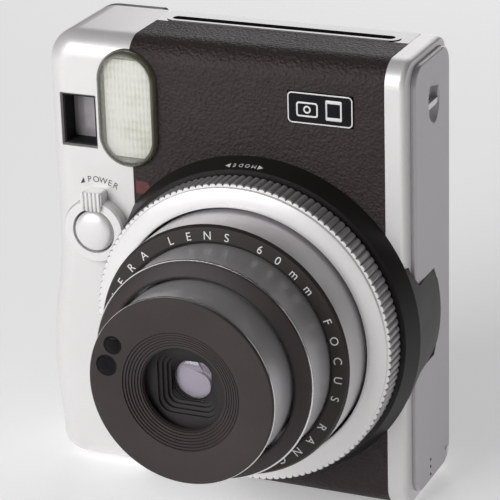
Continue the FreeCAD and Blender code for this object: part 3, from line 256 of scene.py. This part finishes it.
# ------------------------------------------------------------------ metal parts
# The barrels are drawn metal with a brushed skin, the side plate and the lever are painted or plated silver, and
# the strap bars, pins, rollers and motor are bright steel.
def turned_metal(name, tone, rough, rings=9000.0, metallic=1.0):
    """Metal or plated plastic turned on a lathe: fine lines run round an axis along y."""
    material, place, inputs = finish(name, Metallic=metallic)
    across = place.node("SeparateXYZ", {}, {"Vector": place}, 1)
    line = place.node("TexNoise", {"noise_dimensions": "1D"}, {"W": across, "Scale": rings, "Detail": 3.0})
    cloud = place.noise(70.0, 3.0)
    low = tuple(0.9 * value for value in tone)
    feed(inputs, Base_Color=(line * 0.5 + cloud * 0.5).shades((0.35, low), (0.65, tone)),
         Roughness=line * 0.12 + rough, Normal=place.bump(line, 0.08, 0.00002))
    return material


barrel_metal = turned_metal("brushed_barrel", (0.72, 0.69, 0.715), 0.3, 3000.0, 0.5)
dial_metal = painted_silver("satin_dial_metal", (0.90, 0.89, 0.885), (0.84, 0.83, 0.825), 0.3)
# The side plate takes a darker, cooler copy of the case's silver paint: painted shade for the side that faces
# away from the key light.
plate_painted_shade_silver = painted_silver("side_plate_silver_painted_shade", (0.60, 0.58, 0.60), (0.54, 0.52, 0.54), 0.36)
bright_steel = turned_metal("bright_steel", (0.72, 0.72, 0.73), 0.22, 4000.0)
dress("lens_base_tube", barrel_metal)
for node in ("power_lever", "side_shutter_button", "door_latch"):
    dress(node, dial_metal)
dress("right_side_plate", plate_painted_shade_silver)
for node in ("strap_bars", "hinge_pin", "front_roller", "rear_roller", "roller_bracket", "gear_studs",
             "drive_motor"):
    dress(node, bright_steel)


# ------------------------------------------------------------------ mode dial
# A wide ring round the lens, moulded and plated satin silver. Its rim has rounded ribs with narrow grooves
# between them for the fingers; its front slopes gently in to the lens.
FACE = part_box("front_leather")[0].y


def heart(node):
    """The middle of a node's box, across and up."""
    low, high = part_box(node)
    return (low.x + high.x) / 2, (low.z + high.z) / 2


AXIS = heart("mode_dial")


def lathe(rings, segments=144, centre=AXIS, closed=True):
    """Turn a section about an axis along y: a circle is extruded and scaled through (ahead, radius) steps.

    Ahead is in front of the case's face and both are in millimetres. The section closes on its start, or else
    its open ends are filled."""
    ahead, radius = rings[0]
    bpy.ops.object.select_all(action="DESELECT")
    bpy.ops.mesh.primitive_circle_add(vertices=segments, radius=radius * MM, rotation=(pi / 2, 0, 0),
                                      location=(centre[0], FACE - ahead * MM, centre[1]))
    bpy.ops.object.mode_set(mode="EDIT")
    bpy.ops.mesh.select_all(action="SELECT")
    for next_ahead, next_radius in (*rings[1:], rings[0]) if closed else rings[1:]:
        bpy.ops.mesh.extrude_edges_move(TRANSFORM_OT_translate={"value": (0, (ahead - next_ahead) * MM, 0)})
        grow = next_radius / radius
        bpy.ops.transform.resize(value=(grow, 1, grow), center_override=(centre[0], 0, centre[1]))
        ahead, radius = next_ahead, next_radius
    bpy.ops.mesh.select_all(action="SELECT")
    bpy.ops.mesh.remove_doubles(threshold=2e-6)
    if not closed:
        bpy.ops.mesh.select_non_manifold(extend=False)
        bpy.ops.mesh.fill_holes(sides=0)


def pick(test):
    """In edit mode, select just the vertices whose place passes a test."""
    bpy.ops.mesh.select_all(action="DESELECT")
    bpy.ops.object.mode_set(mode="OBJECT")
    piece = bpy.context.object
    for vertex in piece.data.vertices:
        vertex.select = test(piece.matrix_world @ vertex.co)
    bpy.ops.object.mode_set(mode="EDIT")


def finished(name, material, body, bevel=0.0, angle=30.0, replaces=()):
    """Leave edit mode, put the place in the mesh, round the hard edges, smooth, dress and attach the piece."""
    if bpy.context.mode == "EDIT_MESH":
        bpy.ops.mesh.select_all(action="SELECT")
        bpy.ops.mesh.normals_make_consistent(inside=False)
        bpy.ops.object.mode_set(mode="OBJECT")
    piece = bpy.context.object
    bpy.ops.object.transform_apply(location=True, rotation=True, scale=True)
    if bevel:
        rounding = piece.modifiers.new("rounding", "BEVEL")
        rounding.width = bevel * MM
        rounding.segments = 2
        rounding.angle_limit = radians(angle)
        bpy.ops.object.modifier_apply(modifier=rounding.name)
    bpy.ops.object.shade_smooth_by_angle(angle=radians(angle))
    piece.name = name
    piece.data.materials.clear()
    piece.data.materials.append(material)
    if body:
        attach(piece, body)
    if replaces:
        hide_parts(*replaces)
    return piece


ribs, facets = 132, 8
rib_dip = (0.6, 0.22, 0.06, 0.0, 0.0, 0.0, 0.06, 0.22)
dial_rim = (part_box("mode_dial")[1].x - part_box("mode_dial")[0].x) / 2 / MM
lathe(((5.1, 36.6), (5.2, dial_rim - 0.5), (5.6, dial_rim), (11.1, dial_rim), (11.4, dial_rim - 0.2),
       (11.45, 36.95), (11.6, 36.85), (11.95, 36.7), (12.1, 36.3), (12.75, 33.2), (12.8, 32.6), (12.7, 32.25),
       (12.3, 32.1), (10.8, 32.1), (10.6, 35.8), (5.1, 35.8)), segments=ribs * facets)


def rib_place(point):
    """Which of a rib's facets a point on the rim belongs to, or none if it is off the rim."""
    across, up = point.x - AXIS[0], point.z - AXIS[1]
    if (across ** 2 + up ** 2) ** 0.5 < (dial_rim - 0.4) * MM or point.y > FACE - 5.3 * MM:
        return None
    return round(atan2(up, across) / tau * ribs * facets) % facets


for facet, dip in enumerate(rib_dip):
    if dip:
        pick(lambda point: rib_place(point) == facet)
        shrink = 1 - dip / dial_rim
        bpy.ops.transform.resize(value=(shrink, 1, shrink), center_override=(AXIS[0], 0, AXIS[1]))
dial = finished("knurled_dial", dial_metal, "mode_dial", angle=24, replaces=("mode_dial",))
# The rim takes a darker copy of the dial's silver: painted shade and painted dark reflection where the ribs turn
# away from the light.
rim_painted_shade_silver = painted_silver("ribbed_rim_painted_shade", (0.52, 0.50, 0.51), (0.42, 0.40, 0.41), 0.26)
dial.data.materials.append(rim_painted_shade_silver)
for face in dial.data.polygons:
    across, ahead, up = face.center
    on_rim = ((across - AXIS[0]) ** 2 + (up - AXIS[1]) ** 2) ** 0.5 > (dial_rim - 0.75) * MM
    if on_rim and ahead > FACE - 11.42 * MM:
        face.material_index = 1


# ------------------------------------------------------------------ lens barrels
# Two drawn metal barrels slide in the base tube. Each ends in a polished lip that holds a dark plastic ring.
polished_lip = turned_metal("polished_lip", (0.82, 0.80, 0.80), 0.12)
lathe(((17.0, 26.9), (33.1, 26.9), (33.1, 25.7), (17.0, 25.7)))
finished("middle_barrel_skin", barrel_metal, "middle_stage", replaces=("middle_barrel",))
lathe(((33.1, 26.9), (33.35, 27.25), (33.6, 27.3), (33.75, 27.15), (33.75, 25.7), (33.1, 25.7)))
finished("middle_barrel_lip", polished_lip, "middle_stage")
lathe(((16.8, 26.0), (16.8, 30.0), (18.8, 30.0), (18.8, 26.0)))
finished("middle_barrel_slide", barrel_metal, "middle_stage", bevel=0.2)
lathe(((33.75, 26.95), (34.1, 26.9), (34.3, 26.7), (35.3, 24.5), (35.6, 23.9), (35.5, 23.5), (35.2, 23.3),
       (33.0, 23.25), (33.0, 25.7), (33.75, 25.7)))
finished("middle_ring_face", nose_plastic, "middle_stage", replaces=("middle_ring",))
lathe(((28.0, 22.5), (45.05, 22.5), (45.05, 21.2), (28.0, 21.2)))
finished("inner_barrel_skin", barrel_metal, "inner_stage", replaces=("inner_barrel",))
lathe(((45.05, 22.5), (45.25, 22.85), (45.5, 22.93), (45.65, 22.8), (45.65, 21.2), (45.05, 21.2)))
finished("inner_barrel_lip", polished_lip, "inner_stage")
lathe(((26.3, 21.4), (26.3, 25.3), (28.3, 25.3), (28.3, 21.4)))
finished("inner_barrel_slide", barrel_metal, "inner_stage", bevel=0.2)


# ------------------------------------------------------------------ front ring
# A dark moulded disc closes the inner barrel. Fine concentric ridges step down into its funnel and keep stray
# light off the lens.
ridges, ridge_pitch, ridge_fall = 7, 0.66, 0.2
section = [(45.65, 22.7), (46.1, 22.7), (46.3, 22.45), (46.3, 15.0)]
for ridge in range(ridges):
    radius, ahead = 14.85 - ridge * ridge_pitch, 46.25 - ridge * ridge_fall
    section += [(ahead, radius), (ahead, radius - 0.34), (ahead - 0.34, radius - 0.42),
                (ahead - 0.34, radius - 0.58)]
section += [(44.75, 10.2), (43.8, 10.0), (43.8, 21.0), (45.65, 21.0)]
lathe(section, segments=192)
finished("ridged_front_ring", nose_plastic, "inner_stage", replaces=("front_ring",))


# ------------------------------------------------------------------ range finder windows
# Two small dark domes of glossy plastic, one above the other at the upper left of the front ring. Each stands
# in its own thin raised rim.
dark_gloss = mottled("dark_gloss", 300.0, (0.004, 0.004, 0.005), (0.009, 0.008, 0.01), Roughness=0.2,
                     Specular_IOR_Level=0.12)
eyes = ((-16.4, 9.2, 1.8), (-18.2, 4.0, 2.15))
for number, (across, up, radius) in enumerate(eyes, 1):
    centre = (AXIS[0] + across * MM, AXIS[1] + up * MM)
    lathe(((46.2, radius + 0.5), (46.34, radius + 0.45), (46.36, radius + 0.2), (46.3, radius), (46.3, 0.02)),
          48, centre, closed=False)
    finished("eye_pad_%d" % number, dark_gloss, "inner_stage")
    lathe(((46.28, radius), (46.38, radius * 0.85), (46.5, radius * 0.5), (46.54, 0.02)), 48, centre,
          closed=False)
    finished("eye_dome_%d" % number, dark_gloss, "inner_stage",
             replaces=("sensor_windows",) if number == 1 else ())


# ------------------------------------------------------------------ lens hood
# A matt black baffle behind the front ring: its opening is a rounded square that steps down towards the
# front element, then fine round steps hold the glass.
hood_material = black_moulding("hood_black", (0.018, 0.0155, 0.015), 0.5, 0.3)
corner_steps = 16
bpy.ops.object.select_all(action="DESELECT")
bpy.ops.mesh.primitive_plane_add(size=14.8 * MM, location=(AXIS[0], FACE - 42.2 * MM, AXIS[1]),
                                 rotation=(pi / 2, 0, 0))
bpy.ops.object.mode_set(mode="EDIT")
bpy.ops.mesh.select_all(action="SELECT")
bpy.ops.mesh.bevel(offset=3.3 * MM, segments=corner_steps, affect="VERTICES")
bpy.ops.mesh.select_all(action="SELECT")
bpy.ops.mesh.delete(type="ONLY_FACE")
bpy.ops.mesh.primitive_circle_add(vertices=4 * (corner_steps + 1), radius=20.9 * MM, rotation=(pi / 2, 0, 0),
                                  location=(AXIS[0], FACE - 42.2 * MM, AXIS[1]))
bpy.ops.mesh.select_all(action="SELECT")
bpy.ops.mesh.bridge_edge_loops()
pick(lambda point: max(abs(point.x - AXIS[0]), abs(point.z - AXIS[1])) < 7.5 * MM)
for fall, grow in ((0.7, 1.0), (0.05, 0.89), (0.7, 0.99), (0.05, 0.88), (0.7, 0.99), (0.05, 0.88)):
    bpy.ops.mesh.extrude_edges_move(TRANSFORM_OT_translate={"value": (0, fall * MM, 0)})
    bpy.ops.transform.resize(value=(grow, 1, grow), center_override=(AXIS[0], 0, AXIS[1]))
bpy.ops.mesh.select_all(action="SELECT")
bpy.ops.mesh.normals_make_consistent(inside=False)
bpy.ops.object.mode_set(mode="OBJECT")
thicken = bpy.context.object.modifiers.new("thicken", "SOLIDIFY")
thicken.thickness = 0.25 * MM
thicken.offset = -1
bpy.ops.object.modifier_apply(modifier=thicken.name)
finished("square_hood", hood_material, "inner_stage", bevel=0.1, angle=40,
         replaces=("lens_hood",))
section = [(39.6, 9.0), (39.6, 5.7)]
for step in range(4):
    section += [(39.3 - step * 0.45, 5.6 - step * 0.3), (39.3 - step * 0.45, 5.35 - step * 0.3)]
section += [(37.0, 4.3), (37.0, 9.0)]
lathe(section)
finished("lens_steps", hood_material, "inner_stage", bevel=0.05)


# ------------------------------------------------------------------ glass of the lens and its shutter
# A coated front element, a rear element, and between them the closed leaves of a small grey shutter.
def clear_glass(name, tint, rough=0.02, through=1.0):
    material, place, inputs = finish(name, Transmission_Weight=through, IOR=1.48, Coat_Weight=0.3)
    smear = place.noise(260.0, 3.0)
    low = tuple(0.96 * value for value in tint)
    feed(inputs, Base_Color=smear.shades((0.3, low), (0.7, tint)), Roughness=smear * 0.03 + rough)
    return material


lens_glass = clear_glass("coated_lens_glass", (0.93, 0.90, 0.97))
shutter_metal = turned_metal("shutter_leaf_metal", (0.60, 0.56, 0.60), 0.35, 3000.0, 0.6)
lathe(((38.6, 4.7), (38.9, 4.2), (39.15, 2.6), (39.25, 0.02)), 96, closed=False)
finished("front_element", lens_glass, "inner_stage", replaces=("front_lens",))
dress("rear_lens", lens_glass)
leaves = 5
for leaf in range(leaves):
    turn = leaf * tau / leaves
    bpy.ops.object.select_all(action="DESELECT")
    bpy.ops.mesh.primitive_circle_add(vertices=40, radius=3.2 * MM, fill_type="NGON", rotation=(pi / 2, 0, 0),
                                      location=(AXIS[0] + 1.6 * MM * cos(turn), FACE - (37.6 + leaf * 0.1) * MM,
                                                AXIS[1] + 1.6 * MM * sin(turn)))
    bpy.ops.object.mode_set(mode="EDIT")
    bpy.ops.mesh.extrude_region_move(TRANSFORM_OT_translate={"value": (0, 0.06 * MM, 0)})
    finished("shutter_leaf_%d" % (leaf + 1), shutter_metal, "inner_stage", bevel=0.02)


# ------------------------------------------------------------------ white lettering round the lens
# Pad-printed letters stand in the sloping face of the dark ring, their tops outwards.
def lettering(name, size, marks, material, body, thick=0.03):
    """Print: each mark is a character with the place of its middle and its right and up directions."""
    made = []
    for character, middle, right, up in marks:
        bpy.ops.object.select_all(action="DESELECT")
        bpy.ops.object.text_add()
        text = bpy.context.object
        text.data.body = character
        text.data.size = size * MM
        text.data.align_x = "CENTER"
        text.data.align_y = "CENTER"
        text.data.extrude = thick * MM
        bpy.ops.object.convert(target="MESH")
        right, up = Vector(right).normalized(), Vector(up).normalized()
        turned = Matrix((right, up, right.cross(up))).transposed().to_4x4()
        text.matrix_world = Matrix.Translation(middle) @ turned
        bpy.ops.object.transform_apply(location=True, rotation=True, scale=True)
        made.append(text)
    for text in made:
        text.select_set(True)
    bpy.ops.object.join()
    bpy.ops.object.mode_set(mode="EDIT")
    bpy.ops.mesh.select_all(action="SELECT")
    bpy.ops.mesh.remove_doubles(threshold=2e-6)
    return finished(name, material, body)


white_print = mottled("white_print", 2500.0, (0.76, 0.75, 0.74), (0.86, 0.85, 0.84), Roughness=0.55)
marks = []
bearing, letter_step, space_step = 179.0, 9.6, 7.0
letter_ring, letters_ahead = 28.95, 22.93
for character in "CAMERA LENS 60mm FOCUS RANGE 0.3m-\u221e":
    turn = radians(bearing)
    out = Vector((cos(turn), 0, sin(turn)))
    middle = Vector((AXIS[0], FACE - letters_ahead * MM, AXIS[1])) + out * letter_ring * MM
    if character != " ":
        marks.append((character, middle, (sin(turn), 0, -cos(turn)), out * 3.2 + Vector((0, 0.5, 0))))
    bearing -= space_step if character == " " else letter_step
lettering("lens_lettering", 2.8, marks, white_print, "camera_body")

# The same print names the dial on top of the shroud, to be read from above and behind.
marks = []
shroud_top = 39.5
for number, character in enumerate("\u25c0MODE\u25b6"):
    turn = radians(86.2 + 2.4 * number)
    out = Vector((cos(turn), 0, sin(turn)))
    middle = Vector((AXIS[0], FACE - 3.3 * MM, AXIS[1])) + out * shroud_top * MM
    marks.append((character, middle, (-sin(turn), 0, cos(turn)), Vector((0, -1, 0)) - out * 0.396))
lettering("mode_lettering", 1.6, marks, white_print, "camera_body")


# ------------------------------------------------------------------ power lever and shutter button
# The lever is a moulded satin ring with a thumb tab gripped by five upright ribs. The shutter button in its
# middle is a pressed metal dome that stands in a thin dark gap.
def rib_row(name, material, body, middle, size, step, count, bevel):
    """A row of rounded ribs from the place of the first; its size, the step and the bevel are in millimetres."""
    bpy.ops.object.select_all(action="DESELECT")
    bpy.ops.mesh.primitive_cube_add(size=1, location=middle, scale=[value * MM for value in size])
    row = finished(name, material, body, bevel=bevel)
    again = row.modifiers.new("again", "ARRAY")
    again.count = count
    again.use_relative_offset = False
    again.use_constant_offset = True
    again.constant_offset_displace = [value * MM for value in step]
    bpy.ops.object.modifier_apply(modifier=again.name)


POST = heart("shutter_button")
lathe(((4.1, 0.02), (4.08, 1.2), (3.98, 2.4), (3.78, 3.5), (3.5, 4.3), (3.2, 4.75), (2.85, 4.98), (2.4, 5.05),
       (-3.0, 5.05), (-3.0, 6.3), (-4.0, 6.3), (-4.0, 0.02)), 128, POST, closed=False)
finished("domed_button", dial_metal, "shutter_button", replaces=("shutter_button",))
tab_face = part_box("power_lever")[0].y
rib_row("tab_ribs", dial_metal, "power_lever",
        (POST[0] - 2.16 * MM, tab_face - 0.05 * MM, POST[1] + 7.85 * MM), (0.78, 0.9, 4.9), (1.08, 0, 0), 5, 0.34)

# A coil of thin steel wire behind the button pushes it back, and shortens as the button goes in.
wire, coil, turns = 0.22, 2.4, 3.45
spring_low, spring_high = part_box("shutter_spring")
bpy.ops.object.select_all(action="DESELECT")
bpy.ops.mesh.primitive_circle_add(vertices=10, radius=wire * MM,
                                  location=(POST[0], spring_low.y + wire * MM, POST[1]))
bpy.ops.object.mode_set(mode="EDIT")
bpy.ops.mesh.select_all(action="SELECT")
bpy.ops.transform.translate(value=(coil * MM, 0, 0))
bpy.ops.object.mode_set(mode="OBJECT")
winding = bpy.context.object.modifiers.new("winding", "SCREW")
winding.axis = "Y"
winding.angle = tau * turns
winding.screw_offset = spring_high.y - spring_low.y - 2 * wire * MM
winding.steps = winding.render_steps = 96
bpy.ops.object.modifier_apply(modifier=winding.name)
bpy.ops.object.mode_set(mode="EDIT")
bpy.ops.mesh.select_all(action="DESELECT")
bpy.ops.mesh.select_non_manifold()
bpy.ops.mesh.fill_holes(sides=0)
spring = finished("return_spring", bright_steel, None, angle=50, replaces=("shutter_spring",))
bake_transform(spring)

# Grey print bends round the lever on the case, with an arrow at its start.
grey_print = mottled("grey_print", 2500.0, (0.035, 0.032, 0.032), (0.06, 0.055, 0.055), Roughness=0.5)
marks = []
print_ring = 12.4
for character, degree in zip("\u25e2POWER", (108.4, 98.5, 90.3, 81.5, 73.0, 65.5)):
    turn = radians(degree)
    out = Vector((cos(turn), 0, sin(turn)))
    middle = Vector((POST[0], FACE, POST[1])) + out * print_ring * MM
    marks.append((character, middle, (sin(turn), 0, -cos(turn)), out))
lettering("power_lettering", 2.15, marks, grey_print, "camera_body")


# ------------------------------------------------------------------ flash
# A clear moulded dome, its thick rim a smoky olive, over a creamy ribbed reflector that a dark frame masks
# down to a window with round corners.
FLASH = heart("flash_lens")
flash_clear, place, inputs = finish("flash_window_plastic", Roughness=0.08, Coat_Weight=0.4, Coat_Roughness=0.03)
across = place.node("SeparateXYZ", {}, {"Vector": place}, 0) - FLASH[0]
along = place.node("SeparateXYZ", {}, {"Vector": place}, 2) - FLASH[1]
straight, round_end = 6.8, 7.7
past = across.math("MAXIMUM", along.math("ABSOLUTE", along) - straight * MM, 0.0)
reach = across.math("SQRT", across * across + past * past) / (round_end * MM)
feed(inputs, Alpha=reach.shades((0.84, (0.12, 0.12, 0.12)), (0.97, (0.85, 0.85, 0.85))),
     Base_Color=reach.shades((0.84, (0.85, 0.85, 0.78)), (0.95, (0.14, 0.13, 0.085))))
dress("flash_lens", flash_clear)
flash_cream, place, inputs = finish("flash_reflector_cream", Roughness=0.3, Metallic=0.2)
lines = place.node("TexWave", {"bands_direction": "X"}, {"Vector": place, "Scale": 420.0, "Distortion": 0.0})
patch = place.noise(170.0, 2.0)
feed(inputs, Base_Color=(patch * 0.7 + lines * 0.3).shades((0.3, (0.80, 0.79, 0.68)), (0.65, (0.98, 0.97, 0.90))),
     Normal=place.bump(lines, 0.25, 0.0002))
dress("flash_reflector", flash_cream)
tube_glass = clear_glass("flash_tube_glass", (0.95, 0.96, 0.97))
dress("flash_tube", tube_glass)


def bezel(outer, inner, depth, centre, segments=8):
    """A frame between two rounded rectangles, each (wide, tall, corner, ahead), extruded backwards."""
    bpy.ops.object.select_all(action="DESELECT")
    for wide, tall, corner, ahead in (outer, inner):
        middle = (centre[0], FACE - ahead * MM, centre[1])
        bpy.ops.mesh.primitive_plane_add(size=1, rotation=(pi / 2, 0, 0), location=middle)
        if bpy.context.mode == "OBJECT":
            bpy.ops.object.mode_set(mode="EDIT")
            bpy.ops.mesh.select_all(action="SELECT")
        bpy.ops.transform.resize(value=(wide * MM, 1, tall * MM), center_override=middle)
        bpy.ops.mesh.bevel(offset=corner * MM, segments=segments, affect="VERTICES")
        bpy.ops.mesh.select_all(action="DESELECT")
    bpy.ops.mesh.select_all(action="SELECT")
    bpy.ops.mesh.delete(type="ONLY_FACE")
    bpy.ops.mesh.select_all(action="SELECT")
    bpy.ops.mesh.bridge_edge_loops()
    bpy.ops.mesh.select_all(action="SELECT")
    bpy.ops.mesh.extrude_region_move(TRANSFORM_OT_translate={"value": (0, depth * MM, 0)})


smoky = mottled("smoky_frame", 200.0, (0.10, 0.095, 0.07), (0.16, 0.15, 0.115), Roughness=0.3)
bezel((12.9, 26.5, 6.3, 0.9), (12.0, 24.2, 3.0, 0.2), 0.4, FLASH)
finished("flash_frame", smoky, "camera_body", bevel=0.08)

# The window's own back face is a sheet of fine prisms that spreads the light and hides the tube. Its near-white
# cream colour is painted light: it stands in for the bright reflector, which lies in shade behind the dome.
prism_sheet_painted_light, place, inputs = finish("flash_prism_sheet_painted_light", Roughness=0.22, Alpha=0.86)
prisms = place.node("TexWave", {"bands_direction": "X"}, {"Vector": place, "Scale": 300.0, "Distortion": 0.6})
cross = place.node("TexWave", {"bands_direction": "Z"}, {"Vector": place, "Scale": 150.0, "Distortion": 1.5})
painted_glow_mottle = place.noise(130.0, 3.0)
feed(inputs, Base_Color=(painted_glow_mottle * 0.75 + prisms * 0.15 + cross * 0.1).shades((0.3, (0.70, 0.70, 0.60)),
                                                                          (0.55, (0.98, 0.98, 0.92))),
     Normal=place.bump(prisms * 0.6 + cross * 0.4, 0.5, 0.0002))
bpy.ops.object.select_all(action="DESELECT")
bpy.ops.mesh.primitive_plane_add(size=1, rotation=(pi / 2, 0, 0), location=(FLASH[0], FACE - 0.15 * MM, FLASH[1]))
bpy.ops.object.mode_set(mode="EDIT")
bpy.ops.mesh.select_all(action="SELECT")
bpy.ops.transform.resize(value=(12.3 * MM, 1, 24.6 * MM))
bpy.ops.mesh.bevel(offset=3.2 * MM, segments=8, affect="VERTICES")
bpy.ops.mesh.select_all(action="SELECT")
bpy.ops.mesh.extrude_region_move(TRANSFORM_OT_translate={"value": (0, 0.35 * MM, 0)})
finished("flash_prisms_painted_light", prism_sheet_painted_light, "camera_body")


# ------------------------------------------------------------------ viewfinder
# A bright bevelled bezel lines the square opening, with a violet coated pane deep inside its black tunnel.
VIEW = heart("viewfinder_tunnel")
bezel_silver = painted_silver("viewfinder_bezel_silver", (0.36, 0.33, 0.35), (0.30, 0.27, 0.29), 0.3)
bezel((9.58, 13.38, 0.25, 0.0), (8.7, 12.5, 0.15, -0.62), 0.12, VIEW)
finished("viewfinder_bezel", bezel_silver, "camera_body", bevel=0.03)
pane = mottled("violet_coated_pane", 220.0, (0.33, 0.30, 0.32), (0.40, 0.37, 0.39), 3.0, Roughness=0.1,
               Coat_Weight=0.5)
dress("viewfinder_window", pane)
dress("eyepiece_lens", dark_gloss)


# ------------------------------------------------------------------ badge and self-timer lamp
# A glossy black plate set in the leather carries a plain pictogram of a camera and a print, pressed from
# bright foil, with a foil rim. The lamp beside the dial is deep red plastic.
dress("badge_plate", dark_gloss)
foil = painted_silver("badge_foil", (0.82, 0.81, 0.81), (0.74, 0.73, 0.73), 0.28)
BADGE = heart("badge_plate")
for name, outer, inner, shift in (("badge_rim", (16.1, 7.5, 1.1), (15.5, 6.9, 0.8), (0, 0)),
                                  ("badge_camera", (5.4, 3.6, 0.7), (4.6, 2.8, 0.4), (-3.2, -0.3)),
                                  ("badge_print", (4.0, 4.9, 0.3), (3.2, 3.3, 0.1), (3.4, 0))):
    bezel((*outer, 0.38), (*inner, 0.38), 0.1, (BADGE[0] + shift[0] * MM, BADGE[1] + shift[1] * MM))
    finished(name, foil, "camera_body", bevel=0.02)
lathe(((0.38, 0.95), (0.38, 0.55), (0.28, 0.55), (0.28, 0.95)), 32, (BADGE[0] - 3.2 * MM, BADGE[1] - 0.3 * MM))
finished("badge_lens", foil, "camera_body", bevel=0.02)
red_lens = mottled("deep_red_lamp", 700.0, (0.085, 0.005, 0.007), (0.15, 0.010, 0.014), Roughness=0.18,
                   Coat_Weight=0.4)
dress("timer_lamp", red_lens)


# ------------------------------------------------------------------ right side of the case
# Three small sunk pins low on the side plate. The polished end of the hinge pin there is the steel pin dressed
# with the other metal parts.
side_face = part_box("right_side_plate")[1].x
for number, height in enumerate((7.9, 6.0, 3.9), 1):
    bpy.ops.object.select_all(action="DESELECT")
    bpy.ops.mesh.primitive_cylinder_add(vertices=24, radius=0.5 * MM, depth=0.16 * MM, rotation=(0, pi / 2, 0),
                                        location=(side_face, -0.7 * MM, height * MM))
    bpy.ops.object.mode_set(mode="EDIT")
    pick(lambda point: point.x > side_face)
    bpy.ops.transform.resize(value=(1, 0.7, 0.7))
    finished("side_pin_%d" % number, hood_material, "camera_body", bevel=0.03)


# ------------------------------------------------------------------ display and keys at the back
# A grey liquid crystal display shows how many prints are left. The four keys below the eyepiece are printed
# with what they set.
crystal = mottled("liquid_crystal", 120.0, (0.20, 0.22, 0.18), (0.24, 0.26, 0.215), Roughness=0.16,
                  Coat_Weight=0.5)
dress("display_window", crystal)


def print_on_back(node, word):
    """One mark in the middle of a node's rear face, to be read from behind."""
    across, up = heart(node)
    return [(word, Vector((across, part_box(node)[1].y, up)), (-1, 0, 0), (0, 0, 1))]


lettering("display_digits", 6.5, print_on_back("display_window", "10"), grey_print, "camera_body")
for number, word in enumerate(("L/D", "TIMER", "FLASH", "MODE"), 1):
    key = "control_button_%d" % number
    lettering("key_print_%d" % number, 1.25, print_on_back(key, word), white_print, key)


# ------------------------------------------------------------------ latch, windows and battery cover
# The film door's latch has moulded ribs to push against, and so has the sliding end of the battery cover.
rib_row("latch_ribs", dial_metal, "door_latch", Vector((34.7, 15.15, 60.6)) * MM,
        (4.2, 0.5, 0.6), (0, 0, 1.36), 5, 0.2)
rib_row("cover_ribs", black_plastic, "battery_cover", Vector((-27.2, 0, 0)) * MM,
        (0.6, 7.0, 0.4), (-1.3, 0, 0), 4, 0.16)
dress("film_window", dark_gloss)


# ------------------------------------------------------------------ base
# Soft rubber feet, and a brass insert whose thread takes a tripod screw.
rubber = black_moulding("foot_rubber", (0.03, 0.03, 0.03), 0.8, 0.5)
dress("feet", rubber)
brass, place, inputs = finish("threaded_brass", Metallic=1.0, Roughness=0.3)
turns = place.node("TexWave", {"bands_direction": "Z"}, {"Vector": place, "Scale": 250.0, "Distortion": 0.0})
feed(inputs, Base_Color=place.noise(400.0).shades((0.3, (0.50, 0.36, 0.15)), (0.7, (0.62, 0.46, 0.21))),
     Normal=place.bump(turns, 0.8, 0.0006))
dress("tripod_socket", brass)


# ------------------------------------------------------------------ battery, board and film drive
# A wrapped lithium battery, a green board with chips soldered on, nylon gears and steel rollers.
wrap, place, inputs = finish("battery_wrap", Roughness=0.35, Coat_Weight=0.3)
height = place.node("SeparateXYZ", {}, {"Vector": place}, 2)
feed(inputs, Base_Color=(height / (40 * MM) + place.noise(900.0) * 0.01).shades(
    (0.0, (0.30, 0.31, 0.33)), (0.62, (0.30, 0.31, 0.33)), (0.63, (0.04, 0.05, 0.07)), (1.0, (0.04, 0.05, 0.07))))
dress("battery", wrap)
board, place, inputs = finish("green_board", Roughness=0.35, Coat_Weight=0.4)
track = place.node("TexVoronoi", {"distance": "CHEBYCHEV"}, {"Vector": place, "Scale": 700.0, "Randomness": 0.6})
feed(inputs, Base_Color=track.shades((0.25, (0.010, 0.085, 0.030)), (0.32, (0.016, 0.13, 0.05))),
     Normal=place.bump(track, 0.2, 0.0001))
dress("circuit_board", board)
board_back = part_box("circuit_board")[1].y
for number, (across, up, wide, tall, thick) in enumerate(((-38.5, 62, 6, 6, 1.0), (-33, 52, 4, 5, 0.9),
                                                          (-40, 47, 5, 3, 0.8), (-33, 43, 3, 2, 1.4)), 1):
    bpy.ops.object.select_all(action="DESELECT")
    bpy.ops.mesh.primitive_cube_add(size=1, scale=(wide * MM, thick * MM, tall * MM),
                                    location=(across * MM, board_back + thick / 2 * MM, up * MM))
    bpy.ops.object.mode_set(mode="EDIT")
    pick(lambda point: point.y > board_back + thick / 2 * MM)
    bpy.ops.transform.resize(value=(0.94, 1, 0.94))
    finished("board_chip_%d" % number, hood_material, "camera_body", bevel=0.08)
nylon = mottled("natural_nylon", 300.0, (0.68, 0.66, 0.58), (0.77, 0.75, 0.68), Roughness=0.42,
                Subsurface_Weight=0.05)
for node in ("upper_drive_gear", "lower_drive_gear", "motor_pinion"):
    dress(node, nylon)


bpy.context.view_layer.update()
